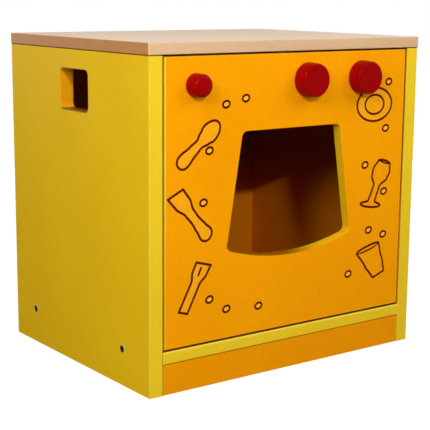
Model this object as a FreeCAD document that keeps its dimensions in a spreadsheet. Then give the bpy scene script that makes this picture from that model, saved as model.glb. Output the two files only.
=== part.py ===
import FreeCAD, Part
import math
import os
import re
import Sketcher

# Toy dishwasher for a play kitchen: a board cabinet with a side-hung door, two dials and a pull knob.
# Millimetres. +Z is up, the door faces -Y, and the origin is on the floor in the middle of the model.

Vector = FreeCAD.Vector
Rotation = FreeCAD.Rotation

doc = FreeCAD.newDocument("toy_dishwasher")

# Driving sizes: one plain number each, kept in the document's sheet.
SIZES = {
    # cabinet
    "cabinet_width": 494,
    "cabinet_depth": 392,
    "side_height": 468,
    "side_thickness": 22,
    "edge_band": 2,
    "band_round": 1.2,
    "worktop_thickness": 16,
    "worktop_overhang": 1.5,
    "worktop_corner": 4,
    "shelf_thickness": 18,
    "plinth_height": 44.5,
    "plinth_thickness": 16,
    "plinth_setback": 1,
    "back_thickness": 4,
    "back_inset": 10,
    "groove_depth": 8,
    "worktop_groove_depth": 6,
    "groove_clearance": 0.2,
    # carrying handholds
    "handhold_behind_middle": 1.7,
    "handhold_below_top": 28.7,
    "handhold_length": 80,
    "handhold_height": 59.6,
    "handhold_corner": 8,
    "handhold_band": 1.5,
    "handhold_band_round": 0.7,
    # door
    "door_thickness": 16,
    "door_recess": 0.5,
    "door_gap_left": 2.8,
    "door_gap_right": 3,
    "door_gap_top": 2.2,
    "door_gap_bottom": 2.2,
    # arched window
    "window_below_door_top": 107.1,
    "window_top_width": 180.7,
    "window_bottom_width": 233.3,
    "window_side_height": 164.7,
    "window_sag": 19,
    "window_corner": 9,
    # row of dials and pull knob
    "knobs_below_door_top": 39.3,
    "dial_from_hinge_side": 92,
    "dial_spacing": 104.5,
    "pull_from_free_side": 50.2,
    # dials
    "dial_diameter": 50,
    "dial_face_diameter": 48,
    "dial_height": 21,
    "dial_round": 2.6,
    "dial_gap": 1,
    "felt_diameter": 30,
    "dial_bush_diameter": 10,
    "dial_bush_flange": 15,
    "dial_bush_lip": 1.2,
    "dial_screw": 6,
    "dial_screw_length": 30,
    "dial_screw_head": 11,
    "dial_screw_head_height": 3.4,
    "dial_washer": 14,
    "washer_thickness": 1.2,
    "dial_insert": 9,
    "dial_insert_length": 13,
    # pull knob
    "pull_diameter": 32.5,
    "pull_face_diameter": 31.5,
    "pull_height": 22,
    "pull_round": 6,
    "pull_dome": 52,
    "pull_screw": 4,
    "pull_screw_length": 26,
    "pull_screw_head": 8,
    "pull_screw_head_height": 2.6,
    "pull_washer": 12,
    "pull_insert": 6.4,
    "pull_insert_length": 11,
    "insert_room": 2,
    # pivots
    "pivot_inset": 14,
    "pivot_pin": 6,
    "pivot_pin_reach": 12,
    "pivot_pin_bevel": 0.8,
    "pivot_bush_diameter": 10,
    "pivot_bush_flange": 14,
    "pivot_bush_length": 14,
    "plate_length": 46,
    "plate_width": 11,
    "plate_thickness": 2,
    "plate_end": 8,
    "plate_corner": 3,
    "plate_screw_first": 16,
    "plate_screw_spacing": 15,
    "wood_screw": 3.5,
    "wood_screw_head": 7,
    "wood_screw_head_height": 2.2,
    "plate_screw_length": 13,
    # magnetic catch and its strike plate
    "catch_from_side": 75,
    "catch_width": 32,
    "catch_flange": 50,
    "catch_flange_height": 2.5,
    "catch_height": 12,
    "catch_depth": 15,
    "catch_screw_spacing": 41,
    "catch_screw_length": 13,
    "magnet_width": 24,
    "magnet_thickness": 4.6,
    "pole_thickness": 1.2,
    "pole_proud": 0.8,
    "catch_wall": 1.6,
    "strike_width": 38,
    "strike_height": 12,
    "strike_thickness": 1.5,
    "strike_screw_spacing": 28,
    "strike_screw": 3,
    "strike_screw_head": 5.6,
    "strike_screw_length": 12,
    # connectors
    "confirmat_from_front": 71.7,
    "confirmat_from_back": 62.7,
    "confirmat_head": 11,
    "confirmat_head_height": 4.5,
    "confirmat_collar": 7,
    "confirmat_thread": 5,
    "confirmat_length": 50,
    "confirmat_sunk": 0.4,
    "confirmat_socket": 4,
    "dowel_diameter": 8,
    "dowel_length": 30,
    "dowel_in_side": 12,
    "dowel_in_worktop": 10,
    "shelf_dowel_from_front": 112,
    "shelf_dowel_from_back": 104,
    "worktop_dowel_from_front": 50,
    "worktop_dowel_from_back": 52,
    "plinth_dowel_from_edge": 12,
    "bracket_from_front": 95,
    "bracket_from_back": 92,
    "bracket_leg": 22,
    "bracket_width": 16,
    "bracket_thickness": 1.8,
    "bracket_hole": 13,
    "bracket_screw_length": 12,
    "back_screw_edge": 40,
    "back_screw_length": 25,
    # fits
    "running_gap": 0.3,
    "shaft_clearance": 0.05,
    "seat_clearance": 0.2,
    "bore_clearance": 0.05,
}

# Sizes and places that follow from the driving ones. Places count from the model's origin.
WORKED_OUT = {
    "front": "(dial_gap + dial_height - door_recess - cabinet_depth - worktop_overhang) / 2",
    "left": "0 - cabinet_width / 2",
    "left_inside": "left + side_thickness",
    "inner_width": "cabinet_width - 2 * side_thickness",
    "shelf_top": "plinth_height + shelf_thickness",
    "shelf_middle": "plinth_height + shelf_thickness / 2",
    "handhold_front": "cabinet_depth / 2 + handhold_behind_middle - handhold_length / 2",
    "handhold_bottom": "side_height - handhold_below_top - handhold_height",
    "groove_width": "back_thickness + groove_clearance",
    "groove_front": "cabinet_depth - back_inset - groove_width",
    "board_depth": "cabinet_depth - edge_band",
    "shelf_depth": "groove_front - edge_band",
    "worktop_board_width": "cabinet_width + 2 * worktop_overhang - 2 * edge_band",
    "worktop_board_depth": "cabinet_depth + 2 * worktop_overhang - 2 * edge_band",
    "worktop_board_left": "left - worktop_overhang + edge_band",
    "worktop_board_front": "front - worktop_overhang + edge_band",
    "door_width": "inner_width - door_gap_left - door_gap_right",
    "door_left": "left_inside + door_gap_left",
    "door_bottom": "shelf_top + door_gap_bottom",
    "door_right": "door_left + door_width",
    "door_top": "side_height - door_gap_top",
    "door_height": "door_top - door_bottom",
    "door_front": "front + door_recess",
    "door_back": "door_front + door_thickness",
    "door_middle": "door_left + door_width / 2",
    "window_shoulder": "door_top - window_below_door_top - window_side_height",
    "window_slope": "(window_bottom_width - window_top_width) / 2 / window_side_height",
    "window_arc": "window_bottom_width * window_bottom_width / 8 / window_sag + window_sag / 2",
    "knob_row": "door_top - knobs_below_door_top",
    "dial_right_place": "door_right - dial_from_hinge_side",
    "dial_left_place": "dial_right_place - dial_spacing",
    "pull_place": "door_left + pull_from_free_side",
    "pivot_across": "door_right - pivot_inset",
    "pivot_deep": "door_front + door_thickness / 2",
    "plate_left": "pivot_across + plate_end - plate_length",
    "plate_front": "pivot_deep - plate_width / 2",
    "dial_back": "door_front - dial_gap",
    "dial_washer_front": "door_back + dial_bush_lip + running_gap",
    "pull_bore": "pull_insert_length + insert_room",
    "dial_bore": "dial_insert_length + insert_room",
    "plinth_middle": "plinth_setback + plinth_thickness / 2",
    "catch_place": "left_inside + catch_from_side",
    "catch_front": "door_back + strike_thickness + running_gap + pole_proud",
    "catch_middle_height": "side_height - catch_flange_height - (catch_height - catch_flange_height) / 2",
    "magnet_pack": "magnet_thickness + 2 * pole_thickness",
    "magnet_low": "(catch_height - catch_flange_height - magnet_pack) / 2",
    "confirmat_bore": "confirmat_sunk + confirmat_head_height",
    "bore": "2 * bore_clearance",
}

sheet = doc.addObject("Spreadsheet::Sheet", "Dims")
for row, (alias, value) in enumerate(SIZES.items(), 1):
    sheet.set("A%d" % row, alias.replace("_", " "))
    sheet.set("B%d" % row, str(value))
    sheet.setAlias("B%d" % row, alias)
doc.recompute()

nodes = []


def cells(formula):
    """A formula in the words of SIZES and WORKED_OUT, as an expression on the sheet's cells."""

    def swap(match):
        word = match.group()
        if word in WORKED_OUT:
            return "(" + cells(WORKED_OUT[word]) + ")"
        return "Dims." + word if word in SIZES else word

    return re.sub(r"[a-z_]+", swap, str(formula))


def bind(thing, prop, formula):
    thing.setExpression(prop, cells(formula))


def place(thing, x=0, y=0, z=0, turn=None):
    """Put a piece at a place given by formulas, turned first where it needs it."""
    if turn is not None:
        thing.Placement = FreeCAD.Placement(Vector(), turn)
    for axis, formula in (("x", x), ("y", y), ("z", z)):
        bind(thing, "Placement.Base." + axis, formula)
    return thing


def node(thing, name):
    """Name a finished sub-part: the label is also the name of its file."""
    thing.Label = name
    nodes.append(thing)
    return thing


# Sketches, and the features that are made from them

PARALLEL = math.cos(math.radians(2))
TOUCHING = 0.001
SHORT_EDGE = 0.5


def new_body(name):
    return doc.addObject("PartDesign::Body", name + "_body")


def new_sketch(body, plane, x=0, y=0, level=0):
    """A sketch on one of the body's origin planes, moved along it and lifted off it."""
    sketch = body.newObject("Sketcher::SketchObject", body.Name + "_sketch")
    origin_plane = next(each for each in body.Origin.OriginFeatures if each.Role == plane)
    sketch.AttachmentSupport = (origin_plane, [""])
    sketch.MapMode = "FlatFace"
    for axis, formula in (("x", x), ("y", y), ("z", level)):
        bind(sketch, "AttachmentOffset.Base." + axis, formula)
    return sketch


def constrain(sketch, kind, *where, formula=None, guess=10.0):
    """Add a constraint, and bind its value where it has one."""
    if formula is None:
        return sketch.addConstraint(Sketcher.Constraint(kind, *where))
    index = sketch.addConstraint(Sketcher.Constraint(kind, *where, guess))
    bind(sketch, "Constraints[%d]" % index, formula)
    return index


def draw_rectangle(sketch, width, height):
    """A rectangle with its lower left corner on the sketch's origin."""
    corners = [Vector(0, 0), Vector(20, 0), Vector(20, 10), Vector(0, 10)]
    first = sketch.GeometryCount
    for i in range(4):
        sketch.addGeometry(Part.LineSegment(corners[i], corners[(i + 1) % 4]))
    for i in range(4):
        constrain(sketch, "Coincident", first + i, 2, first + (i + 1) % 4, 1)
        constrain(sketch, "Horizontal" if i % 2 == 0 else "Vertical", first + i)
    constrain(sketch, "Coincident", first, 1, -1, 1)
    constrain(sketch, "DistanceX", first, 1, first, 2, formula=width, guess=20.0)
    constrain(sketch, "DistanceY", first + 1, 1, first + 1, 2, formula=height)
    return sketch


def draw_circle(sketch, diameter):
    """A circle on the sketch's origin."""
    geometry = sketch.addGeometry(Part.Circle(Vector(), Vector(0, 0, 1), 2))
    constrain(sketch, "Coincident", geometry, 3, -1, 1)
    constrain(sketch, "Diameter", geometry, formula=diameter, guess=4.0)
    return sketch


def pad(body, sketch, length, forward=True):
    """Raise the sketch along its own normal, or against it."""
    feature = body.newObject("PartDesign::Pad", body.Name + "_pad")
    feature.Profile = sketch
    feature.Reversed = not forward
    bind(feature, "Length", length)
    body.Tip = feature
    return feature


def pocket(body, sketch, depth, forward=True):
    """Cut the sketch into the body along the sketch's normal, or against it."""
    feature = body.newObject("PartDesign::Pocket", body.Name + "_pocket")
    feature.Profile = sketch
    feature.Reversed = forward
    bind(feature, "Length", depth)
    body.Tip = feature
    return feature


def revolve(body, sketch):
    """Turn the sketch about its own vertical axis."""
    feature = body.newObject("PartDesign::Revolution", body.Name + "_turned")
    feature.Profile = sketch
    feature.ReferenceAxis = (sketch, ["V_Axis"])
    body.Tip = feature
    return feature


def finish_edges(body, kind, prop, size, chosen):
    """Dress the edges of the body that the function chosen accepts."""
    doc.recompute()
    base = body.Tip
    names = ["Edge%d" % (i + 1) for i, edge in enumerate(base.Shape.Edges) if chosen(edge)]
    feature = body.newObject("PartDesign::" + kind, body.Name + "_" + kind.lower())
    feature.Base = (base, names)
    bind(feature, prop, size)
    body.Tip = feature
    return feature


def round_edges(body, radius, chosen):
    return finish_edges(body, "Fillet", "Radius", radius, chosen)


def bevel_edges(body, size, chosen):
    return finish_edges(body, "Chamfer", "Size", size, chosen)


def runs_along(edge, axis):
    box = edge.BoundBox
    spans = {"x": box.XLength, "y": box.YLength, "z": box.ZLength}
    return spans.pop(axis) > SHORT_EDGE and max(spans.values()) < TOUCHING


def rims(body, normal, outer):
    """The wires that bound the body's flat faces with this normal, outside or round their holes."""
    doc.recompute()
    found = []
    for face in body.Tip.Shape.Faces:
        if isinstance(face.Surface, Part.Plane) and abs(face.normalAt(0, 0).dot(normal)) > PARALLEL:
            found.extend(wire for wire in face.Wires if wire.isSame(face.OuterWire) == outer)
    return found


def edges_of_rim(body, normal, outer):
    """A test for the edges that lie on those wires."""
    edges = [edge for wire in rims(body, normal, outer) for edge in wire.Edges]
    return lambda edge: any(edge.isSame(each) for each in edges)


def corners_of_rim(body, normal, outer):
    """A test for the straight edges that run along the normal from a corner of those wires."""
    points = [vertex.Point for wire in rims(body, normal, outer) for vertex in wire.Vertexes]

    def chosen(edge):
        ends = [vertex.Point for vertex in edge.Vertexes]
        if len(ends) < 2 or ends[0].distanceToPoint(ends[1]) < SHORT_EDGE:
            return False
        run = (ends[1] - ends[0]).normalize()
        starts_at_corner = any(ends[0].distanceToPoint(point) < TOUCHING for point in points)
        return starts_at_corner and abs(run.dot(normal)) > PARALLEL

    return chosen


def board(name, width, depth, height):
    """A plain rectangular board with its origin at its left, front, lower corner."""
    body = new_body(name)
    pad(body, draw_rectangle(new_sketch(body, "XY_Plane"), width, depth), height)
    return body


def drill(body, plane, centre, diameter, depth, level=0, forward=True):
    """A round hole from a level of the plane: forward is along the plane's normal (+X, -Y or +Z)."""
    sketch = draw_circle(new_sketch(body, plane, centre[0], centre[1], level), diameter)
    return pocket(body, sketch, depth, forward)


def rout(body, plane, x, y, width, height, depth, level=0, forward=True):
    """A rectangular recess, slot or cut-out."""
    sketch = draw_rectangle(new_sketch(body, plane, x, y, level), width, height)
    return pocket(body, sketch, depth, forward)


def countersink(body, centre, shank, head, level):
    """A countersunk screw hole through a plate, from its upper face."""
    sketch = draw_circle(new_sketch(body, "XY_Plane", centre[0], centre[1], level), shank)
    doc.recompute()
    hole = body.newObject("PartDesign::Hole", body.Name + "_countersink")
    hole.Profile = sketch
    hole.Threaded = False
    hole.DepthType = "ThroughAll"
    hole.HoleCutType = "Countersink"
    hole.HoleCutCustomValues = True
    hole.HoleCutCountersinkAngle = 90
    bind(hole, "Diameter", shank + " + bore")
    bind(hole, "HoleCutDiameter", head + " + bore")
    body.Tip = hole
    return hole


# Plain turned and bent hardware, made once and copied to its places

# Shares of a screw head's diameter and height
CROWN_ACROSS = 0.72
DRIVE_ACROSS = 0.44
DRIVE_DEPTH = 0.65


def cylinder(name, diameter, length, low=0):
    thing = doc.addObject("Part::Cylinder", name)
    bind(thing, "Radius", "(%s) / 2" % diameter)
    bind(thing, "Height", length)
    bind(thing, "Placement.Base.z", low)
    return thing


def cone(name, low_diameter, high_diameter, length, low=0):
    thing = doc.addObject("Part::Cone", name)
    bind(thing, "Radius1", "(%s) / 2" % low_diameter)
    bind(thing, "Radius2", "(%s) / 2" % high_diameter)
    bind(thing, "Height", length)
    bind(thing, "Placement.Base.z", low)
    return thing


def block(name, x, y, z, width, depth, height):
    thing = doc.addObject("Part::Box", name)
    bind(thing, "Length", width)
    bind(thing, "Width", depth)
    bind(thing, "Height", height)
    return place(thing, x, y, z)


def fuse(name, pieces):
    thing = doc.addObject("Part::MultiFuse", name)
    thing.Shapes = pieces
    thing.Refine = True
    return thing


def cut(name, base, tool):
    thing = doc.addObject("Part::Cut", name)
    thing.Base = base
    thing.Tool = tool
    thing.Refine = True
    return thing


def socket(name, across, depth, top):
    """A six-sided key socket, sunk from the given height."""
    thing = doc.addObject("Part::Prism", name)
    thing.Polygon = 6
    bind(thing, "Circumradius", "(%s) / sqrt(3)" % across)
    bind(thing, "Height", depth)
    bind(thing, "Placement.Base.z", "(%s) - (%s)" % (top, depth))
    return thing


def countersunk_screw(name, head, shank, length):
    """A wood screw with a 90-degree head, its face at height 0 and its point below."""
    head_height = "(%s - %s) / 2" % (head, shank)
    body = fuse(name + "_blank", [
        cone(name + "_head", shank, head, head_height, low="0 - (%s)" % head_height),
        cylinder(name + "_shank", shank, "%s - %s" % (length, head_height), low="0 - %s" % length),
    ])
    drive = socket(name + "_drive", "%s * %s" % (head, DRIVE_ACROSS),
                   "%s * %s" % (head_height, DRIVE_DEPTH), "0")
    return cut(name, body, drive)


def machine_screw(name, head, head_height, shank, length):
    """A pan-head screw that bears at height 0, its head above and its shank below."""
    half = "%s / 2" % head_height
    body = fuse(name + "_blank", [
        cylinder(name + "_rim", head, half),
        cone(name + "_crown", head, "%s * %s" % (head, CROWN_ACROSS), half, low=half),
        cylinder(name + "_shank", shank, length, low="0 - (%s)" % length),
    ])
    drive = socket(name + "_drive", "%s * %s" % (head, DRIVE_ACROSS),
                   "%s * %s" % (head_height, DRIVE_DEPTH), head_height)
    return cut(name, body, drive)


def washer(name, outer, inner, thickness):
    return cut(name, cylinder(name + "_disc", outer, thickness), cylinder(name + "_hole", inner, thickness))


def copies(name, master, places):
    """One node of equal separate solids: places holds x, y and z formulas and a turn for each."""
    links = []
    for i, (x, y, z, turn) in enumerate(places):
        link = doc.addObject("App::Link", "%s_copy_%d" % (name, i + 1))
        link.LinkedObject = master
        links.append(place(link, x, y, z, turn))
    group = doc.addObject("Part::Compound", name + "_group")
    group.Links = links
    return node(group, name)


UPRIGHT = Rotation()
TO_LEFT = Rotation(Vector(0, 1, 0), -90)
TO_RIGHT = Rotation(Vector(0, 1, 0), 90)
TO_BACK = Rotation(Vector(1, 0, 0), -90)
TO_FRONT = Rotation(Vector(1, 0, 0), 90)
DOWNWARD = Rotation(Vector(1, 0, 0), 180)
HALF_TURN = Rotation(Vector(0, 0, 1), 180)

# Rows that several pieces share, counted from the cabinet's front or from the floor

CONFIRMAT_ROWS = ("confirmat_from_front", "cabinet_depth - confirmat_from_back")
SHELF_DOWEL_ROWS = ("shelf_dowel_from_front", "cabinet_depth - shelf_dowel_from_back")
WORKTOP_DOWEL_ROWS = ("worktop_dowel_from_front", "cabinet_depth - worktop_dowel_from_back")
BRACKET_ROWS = ("bracket_from_front", "cabinet_depth - bracket_from_back")
PLINTH_DOWEL_ROWS = ("plinth_dowel_from_edge", "plinth_height - plinth_dowel_from_edge")
PLATE_SCREWS = ("plate_screw_first", "plate_screw_first + plate_screw_spacing")
BACK_SCREW_COUNT = 4
BACK_SCREW_PITCH = "(inner_width - 2 * back_screw_edge) / %d" % (BACK_SCREW_COUNT - 1)
BACK_SCREW_ROWS = ["back_screw_edge + %d * %s" % (i, BACK_SCREW_PITCH) for i in range(BACK_SCREW_COUNT)]


def mirrored(source, name):
    """The same piece on the cabinet's other side."""
    twin = doc.addObject("Part::Mirroring", name + "_mirror")
    twin.Source = source
    twin.Normal = Vector(1, 0, 0)
    return node(twin, name)


# Side panels: the right one is the mirror image of the left one

side = board("side_panel", "side_thickness", "board_depth", "side_height")
rout(side, "YZ_Plane", "handhold_front - handhold_band - edge_band", "handhold_bottom - handhold_band",
     "handhold_length + 2 * handhold_band", "handhold_height + 2 * handhold_band", "side_thickness")
round_edges(side, "handhold_corner + handhold_band", corners_of_rim(side, Vector(1, 0, 0), outer=False))
rout(side, "YZ_Plane", "groove_front - edge_band", 0, "groove_width", "side_height", "groove_depth",
     level="side_thickness", forward=False)
for row in CONFIRMAT_ROWS:
    centre = (row + " - edge_band", "shelf_middle")
    drill(side, "YZ_Plane", centre, "confirmat_head + bore", "confirmat_bore")
    drill(side, "YZ_Plane", centre, "confirmat_collar + bore", "side_thickness")
dowel_centres = [(row + " - edge_band", "shelf_middle") for row in SHELF_DOWEL_ROWS]
dowel_centres += [("plinth_middle - edge_band", row) for row in PLINTH_DOWEL_ROWS]
for centre in dowel_centres:
    drill(side, "YZ_Plane", centre, "dowel_diameter + bore", "dowel_in_side",
          "side_thickness", forward=False)
for row in BRACKET_ROWS:
    drill(side, "YZ_Plane", (row + " - edge_band", "side_height - bracket_hole"), "wood_screw + bore",
          "bracket_screw_length - bracket_thickness", "side_thickness", forward=False)
for row in WORKTOP_DOWEL_ROWS:
    drill(side, "XY_Plane", ("side_thickness / 2", row + " - edge_band"), "dowel_diameter + bore",
          "dowel_length - dowel_in_worktop", "side_height", forward=False)
place(side, "left", "front + edge_band", 0)
node(side, "left_side_panel")
mirrored(side, "right_side_panel")

side_band = board("side_band", "side_thickness", "edge_band", "side_height")
round_edges(side_band, "band_round", lambda edge: runs_along(edge, "z") and edge.BoundBox.YMin < TOUCHING)
place(side_band, "left", "front", 0)
node(side_band, "left_side_front_band")
mirrored(side_band, "right_side_front_band")

# Edge band that lines each handhold

grip = new_body("handhold_band")
pad(grip, draw_rectangle(new_sketch(grip, "YZ_Plane"), "handhold_length + 2 * handhold_band",
                         "handhold_height + 2 * handhold_band"), "side_thickness")
rout(grip, "YZ_Plane", "handhold_band", "handhold_band", "handhold_length", "handhold_height",
     "side_thickness")
round_edges(grip, "handhold_corner", corners_of_rim(grip, Vector(1, 0, 0), outer=False))
round_edges(grip, "handhold_corner + handhold_band", corners_of_rim(grip, Vector(1, 0, 0), outer=True))
round_edges(grip, "handhold_band_round", edges_of_rim(grip, Vector(1, 0, 0), outer=False))
place(grip, "left", "front + handhold_front - handhold_band", "handhold_bottom - handhold_band")
node(grip, "left_handhold_band")
mirrored(grip, "right_handhold_band")


# Bottom shelf, its front band and the plinth below it

def recess_for_plate(body, level, forward, board_left, board_front):
    """The shallow seat of a pivot plate, and the pilot holes of its two screws."""
    rout(body, "XY_Plane", "plate_left - seat_clearance - (%s)" % board_left,
         "plate_front - seat_clearance - (%s)" % board_front,
         "plate_length + 2 * seat_clearance", "plate_width + 2 * seat_clearance", "plate_thickness",
         level, forward)
    for back_from_pin in PLATE_SCREWS:
        centre = ("pivot_across - (%s) - (%s)" % (back_from_pin, board_left),
                  "pivot_deep - (%s)" % board_front)
        drill(body, "XY_Plane", centre, "wood_screw + bore", "plate_screw_length", level, forward)


shelf = board("shelf", "inner_width", "shelf_depth", "shelf_thickness")
recess_for_plate(shelf, "shelf_thickness", False, "left_inside", "front + edge_band")
for end, inward in (("0", True), ("inner_width", False)):
    for row in CONFIRMAT_ROWS:
        drill(shelf, "YZ_Plane", (row + " - edge_band", "shelf_thickness / 2"), "confirmat_thread + bore",
              "confirmat_sunk + confirmat_length - side_thickness", end, inward)
    for row in SHELF_DOWEL_ROWS:
        drill(shelf, "YZ_Plane", (row + " - edge_band", "shelf_thickness / 2"), "dowel_diameter + bore",
              "dowel_length - dowel_in_side", end, inward)
for row in BACK_SCREW_ROWS:
    drill(shelf, "XZ_Plane", (row, "shelf_thickness / 2"), "wood_screw + bore",
          "back_screw_length - back_thickness", "0 - shelf_depth")
place(shelf, "left_inside", "front + edge_band", "plinth_height")
node(shelf, "bottom_shelf")

shelf_band = board("shelf_band", "inner_width", "edge_band", "shelf_thickness")
round_edges(shelf_band, "band_round", lambda edge: runs_along(edge, "x") and edge.BoundBox.YMin < TOUCHING)
place(shelf_band, "left_inside", "front", "plinth_height")
node(shelf_band, "shelf_front_band")

plinth = board("plinth", "inner_width", "plinth_thickness", "plinth_height")
for end, inward in (("0", True), ("inner_width", False)):
    for row in PLINTH_DOWEL_ROWS:
        drill(plinth, "YZ_Plane", ("plinth_thickness / 2", row), "dowel_diameter + bore",
              "dowel_length - dowel_in_side", end, inward)
place(plinth, "left_inside", "front + plinth_setback", 0)
node(plinth, "plinth_board")

# Worktop and its edge band all round

worktop = board("worktop", "worktop_board_width", "worktop_board_depth", "worktop_thickness")
round_edges(worktop, "worktop_corner - edge_band", corners_of_rim(worktop, Vector(0, 0, 1), outer=True))
recess_for_plate(worktop, "0", True, "worktop_board_left", "worktop_board_front")
rout(worktop, "XY_Plane", "left_inside - groove_depth - worktop_board_left",
     "front + groove_front - worktop_board_front", "inner_width + 2 * groove_depth", "groove_width",
     "worktop_groove_depth")
for sign in ("", "0 - "):
    for row in WORKTOP_DOWEL_ROWS:
        drill(worktop, "XY_Plane", (sign + "(left + side_thickness / 2) - worktop_board_left",
                                    "front + %s - worktop_board_front" % row),
              "dowel_diameter + bore", "dowel_in_worktop")
    for row in BRACKET_ROWS:
        drill(worktop, "XY_Plane", (sign + "(left_inside + bracket_hole) - worktop_board_left",
                                    "front + %s - worktop_board_front" % row),
              "wood_screw + bore", "bracket_screw_length - bracket_thickness")
for sign in "-+":
    drill(worktop, "XY_Plane", ("catch_place %s catch_screw_spacing / 2 - worktop_board_left" % sign,
                                "catch_front + catch_depth / 2 - worktop_board_front"),
          "wood_screw + bore", "catch_screw_length - catch_flange_height")
place(worktop, "worktop_board_left", "worktop_board_front", "side_height")
node(worktop, "worktop")

rim = new_body("worktop_band")
pad(rim, draw_rectangle(new_sketch(rim, "XY_Plane"), "worktop_board_width + 2 * edge_band",
                        "worktop_board_depth + 2 * edge_band"), "worktop_thickness")
rout(rim, "XY_Plane", "edge_band", "edge_band", "worktop_board_width", "worktop_board_depth",
     "worktop_thickness")
round_edges(rim, "worktop_corner - edge_band", corners_of_rim(rim, Vector(0, 0, 1), outer=False))
round_edges(rim, "worktop_corner", corners_of_rim(rim, Vector(0, 0, 1), outer=True))
round_edges(rim, "band_round", edges_of_rim(rim, Vector(0, 0, 1), outer=True))
place(rim, "worktop_board_left - edge_band", "worktop_board_front - edge_band", "side_height")
node(rim, "worktop_edge_band")

# Back panel, held in the grooves of the sides and the worktop and screwed to the shelf

back = board("back", "inner_width + 2 * (groove_depth - seat_clearance)", "back_thickness",
             "side_height + worktop_groove_depth - seat_clearance - plinth_height")
for row in BACK_SCREW_ROWS:
    drill(back, "XZ_Plane", (row + " + groove_depth - seat_clearance", "shelf_thickness / 2"),
          "wood_screw + bore", "back_thickness", forward=False)
place(back, "left_inside - groove_depth + seat_clearance", "front + groove_front", "plinth_height")
node(back, "back_panel")


# Door: an arched window cut through the board, and bands on every edge

def draw_window(sketch, margin):
    """The window's outline about the sketch's vertical axis: a level top, two sides that spread
    downwards to the shoulders on the horizontal axis and an arc below, all moved outwards by the margin."""
    top, sag = SIZES["window_side_height"], SIZES["window_sag"]
    half_top, half_low = SIZES["window_top_width"] / 2, SIZES["window_bottom_width"] / 2
    radius = half_low ** 2 / 2 / sag + sag / 2
    spread = math.asin(half_low / radius)
    ends = [Vector(-half_top, top), Vector(half_top, top), Vector(half_low, 0), Vector(-half_low, 0)]
    arc_circle = Part.Circle(Vector(0, radius - sag), Vector(0, 0, 1), radius)
    level, right, left_line = [sketch.addGeometry(Part.LineSegment(*pair)) for pair in
                               ((ends[0], ends[1]), (ends[1], ends[2]), (ends[3], ends[0]))]
    arc = sketch.addGeometry(Part.ArcOfCircle(arc_circle, -math.pi / 2 - spread, -math.pi / 2 + spread))
    shoulder = sketch.addGeometry(Part.Point(ends[2]), True)
    constrain(sketch, "Coincident", level, 2, right, 1)
    constrain(sketch, "Coincident", left_line, 2, level, 1)
    constrain(sketch, "Coincident", right, 2, arc, 2)
    constrain(sketch, "Coincident", left_line, 1, arc, 1)
    constrain(sketch, "Symmetric", level, 1, level, 2, -2)
    constrain(sketch, "Horizontal", right, 2, left_line, 1)
    constrain(sketch, "PointOnObject", arc, 3, -2)
    constrain(sketch, "PointOnObject", shoulder, 1, right)
    reach = "sqrt(1 + window_slope * window_slope)"
    constrain(sketch, "DistanceX", -1, 1, level, 2, guess=half_top,
              formula="window_top_width / 2 + (%s) * (%s - window_slope)" % (margin, reach))
    constrain(sketch, "DistanceY", -1, 1, level, 2, guess=top, formula="window_side_height + (%s)" % margin)
    constrain(sketch, "DistanceX", -1, 1, shoulder, 1, guess=half_low,
              formula="window_bottom_width / 2 + (%s) * %s" % (margin, reach))
    constrain(sketch, "PointOnObject", shoulder, 1, -1)
    constrain(sketch, "DistanceY", -1, 1, arc, 3, guess=radius - sag, formula="window_arc - window_sag")
    constrain(sketch, "Radius", arc, guess=radius, formula="window_arc + (%s)" % margin)
    return sketch


FACING = Vector(0, 1, 0)
DIAL_PLACES = {"left": "dial_left_place", "right": "dial_right_place"}

door = new_body("door")
pad(door, draw_rectangle(new_sketch(door, "XZ_Plane"), "door_width - 2 * edge_band",
                         "door_height - 2 * edge_band"), "door_thickness", forward=False)
board_x, board_z = "door_left + edge_band", "door_bottom + edge_band"
window_sketch = new_sketch(door, "XZ_Plane", "door_middle - (%s)" % board_x,
                           "window_shoulder - (%s)" % board_z)
pocket(door, draw_window(window_sketch, "edge_band"), "door_thickness", forward=False)
round_edges(door, "window_corner + edge_band", corners_of_rim(door, FACING, outer=False))
for across in DIAL_PLACES.values():
    drill(door, "XZ_Plane", ("%s - (%s)" % (across, board_x), "knob_row - (%s)" % board_z),
          "dial_bush_diameter + bore", "door_thickness", forward=False)
drill(door, "XZ_Plane", ("pull_place - (%s)" % board_x, "knob_row - (%s)" % board_z),
      "pull_screw + bore", "door_thickness", forward=False)
for level, upward in (("0", True), ("door_height - 2 * edge_band", False)):
    drill(door, "XY_Plane", ("pivot_across - (%s)" % board_x, "door_thickness / 2"),
          "pivot_bush_diameter + bore", "pivot_bush_length - edge_band", level, upward)
for sign in "-+":
    drill(door, "XZ_Plane", ("catch_place %s strike_screw_spacing / 2 - (%s)" % (sign, board_x),
                             "catch_middle_height - (%s)" % board_z),
          "strike_screw + bore", "strike_screw_length - strike_thickness", "0 - door_thickness")
place(door, board_x, "door_front", board_z)
node(door, "door_board")

door_rim = new_body("door_band")
pad(door_rim, draw_rectangle(new_sketch(door_rim, "XZ_Plane"), "door_width", "door_height"),
    "door_thickness", forward=False)
rout(door_rim, "XZ_Plane", "edge_band", "edge_band", "door_width - 2 * edge_band",
     "door_height - 2 * edge_band", "door_thickness", forward=False)
round_edges(door_rim, "band_round", edges_of_rim(door_rim, FACING, outer=True))
drill(door_rim, "XY_Plane", ("door_width - pivot_inset", "door_thickness / 2"),
      "pivot_bush_diameter + bore", "door_height")
place(door_rim, "door_left", "door_front", "door_bottom")
node(door_rim, "door_edge_band")

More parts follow.
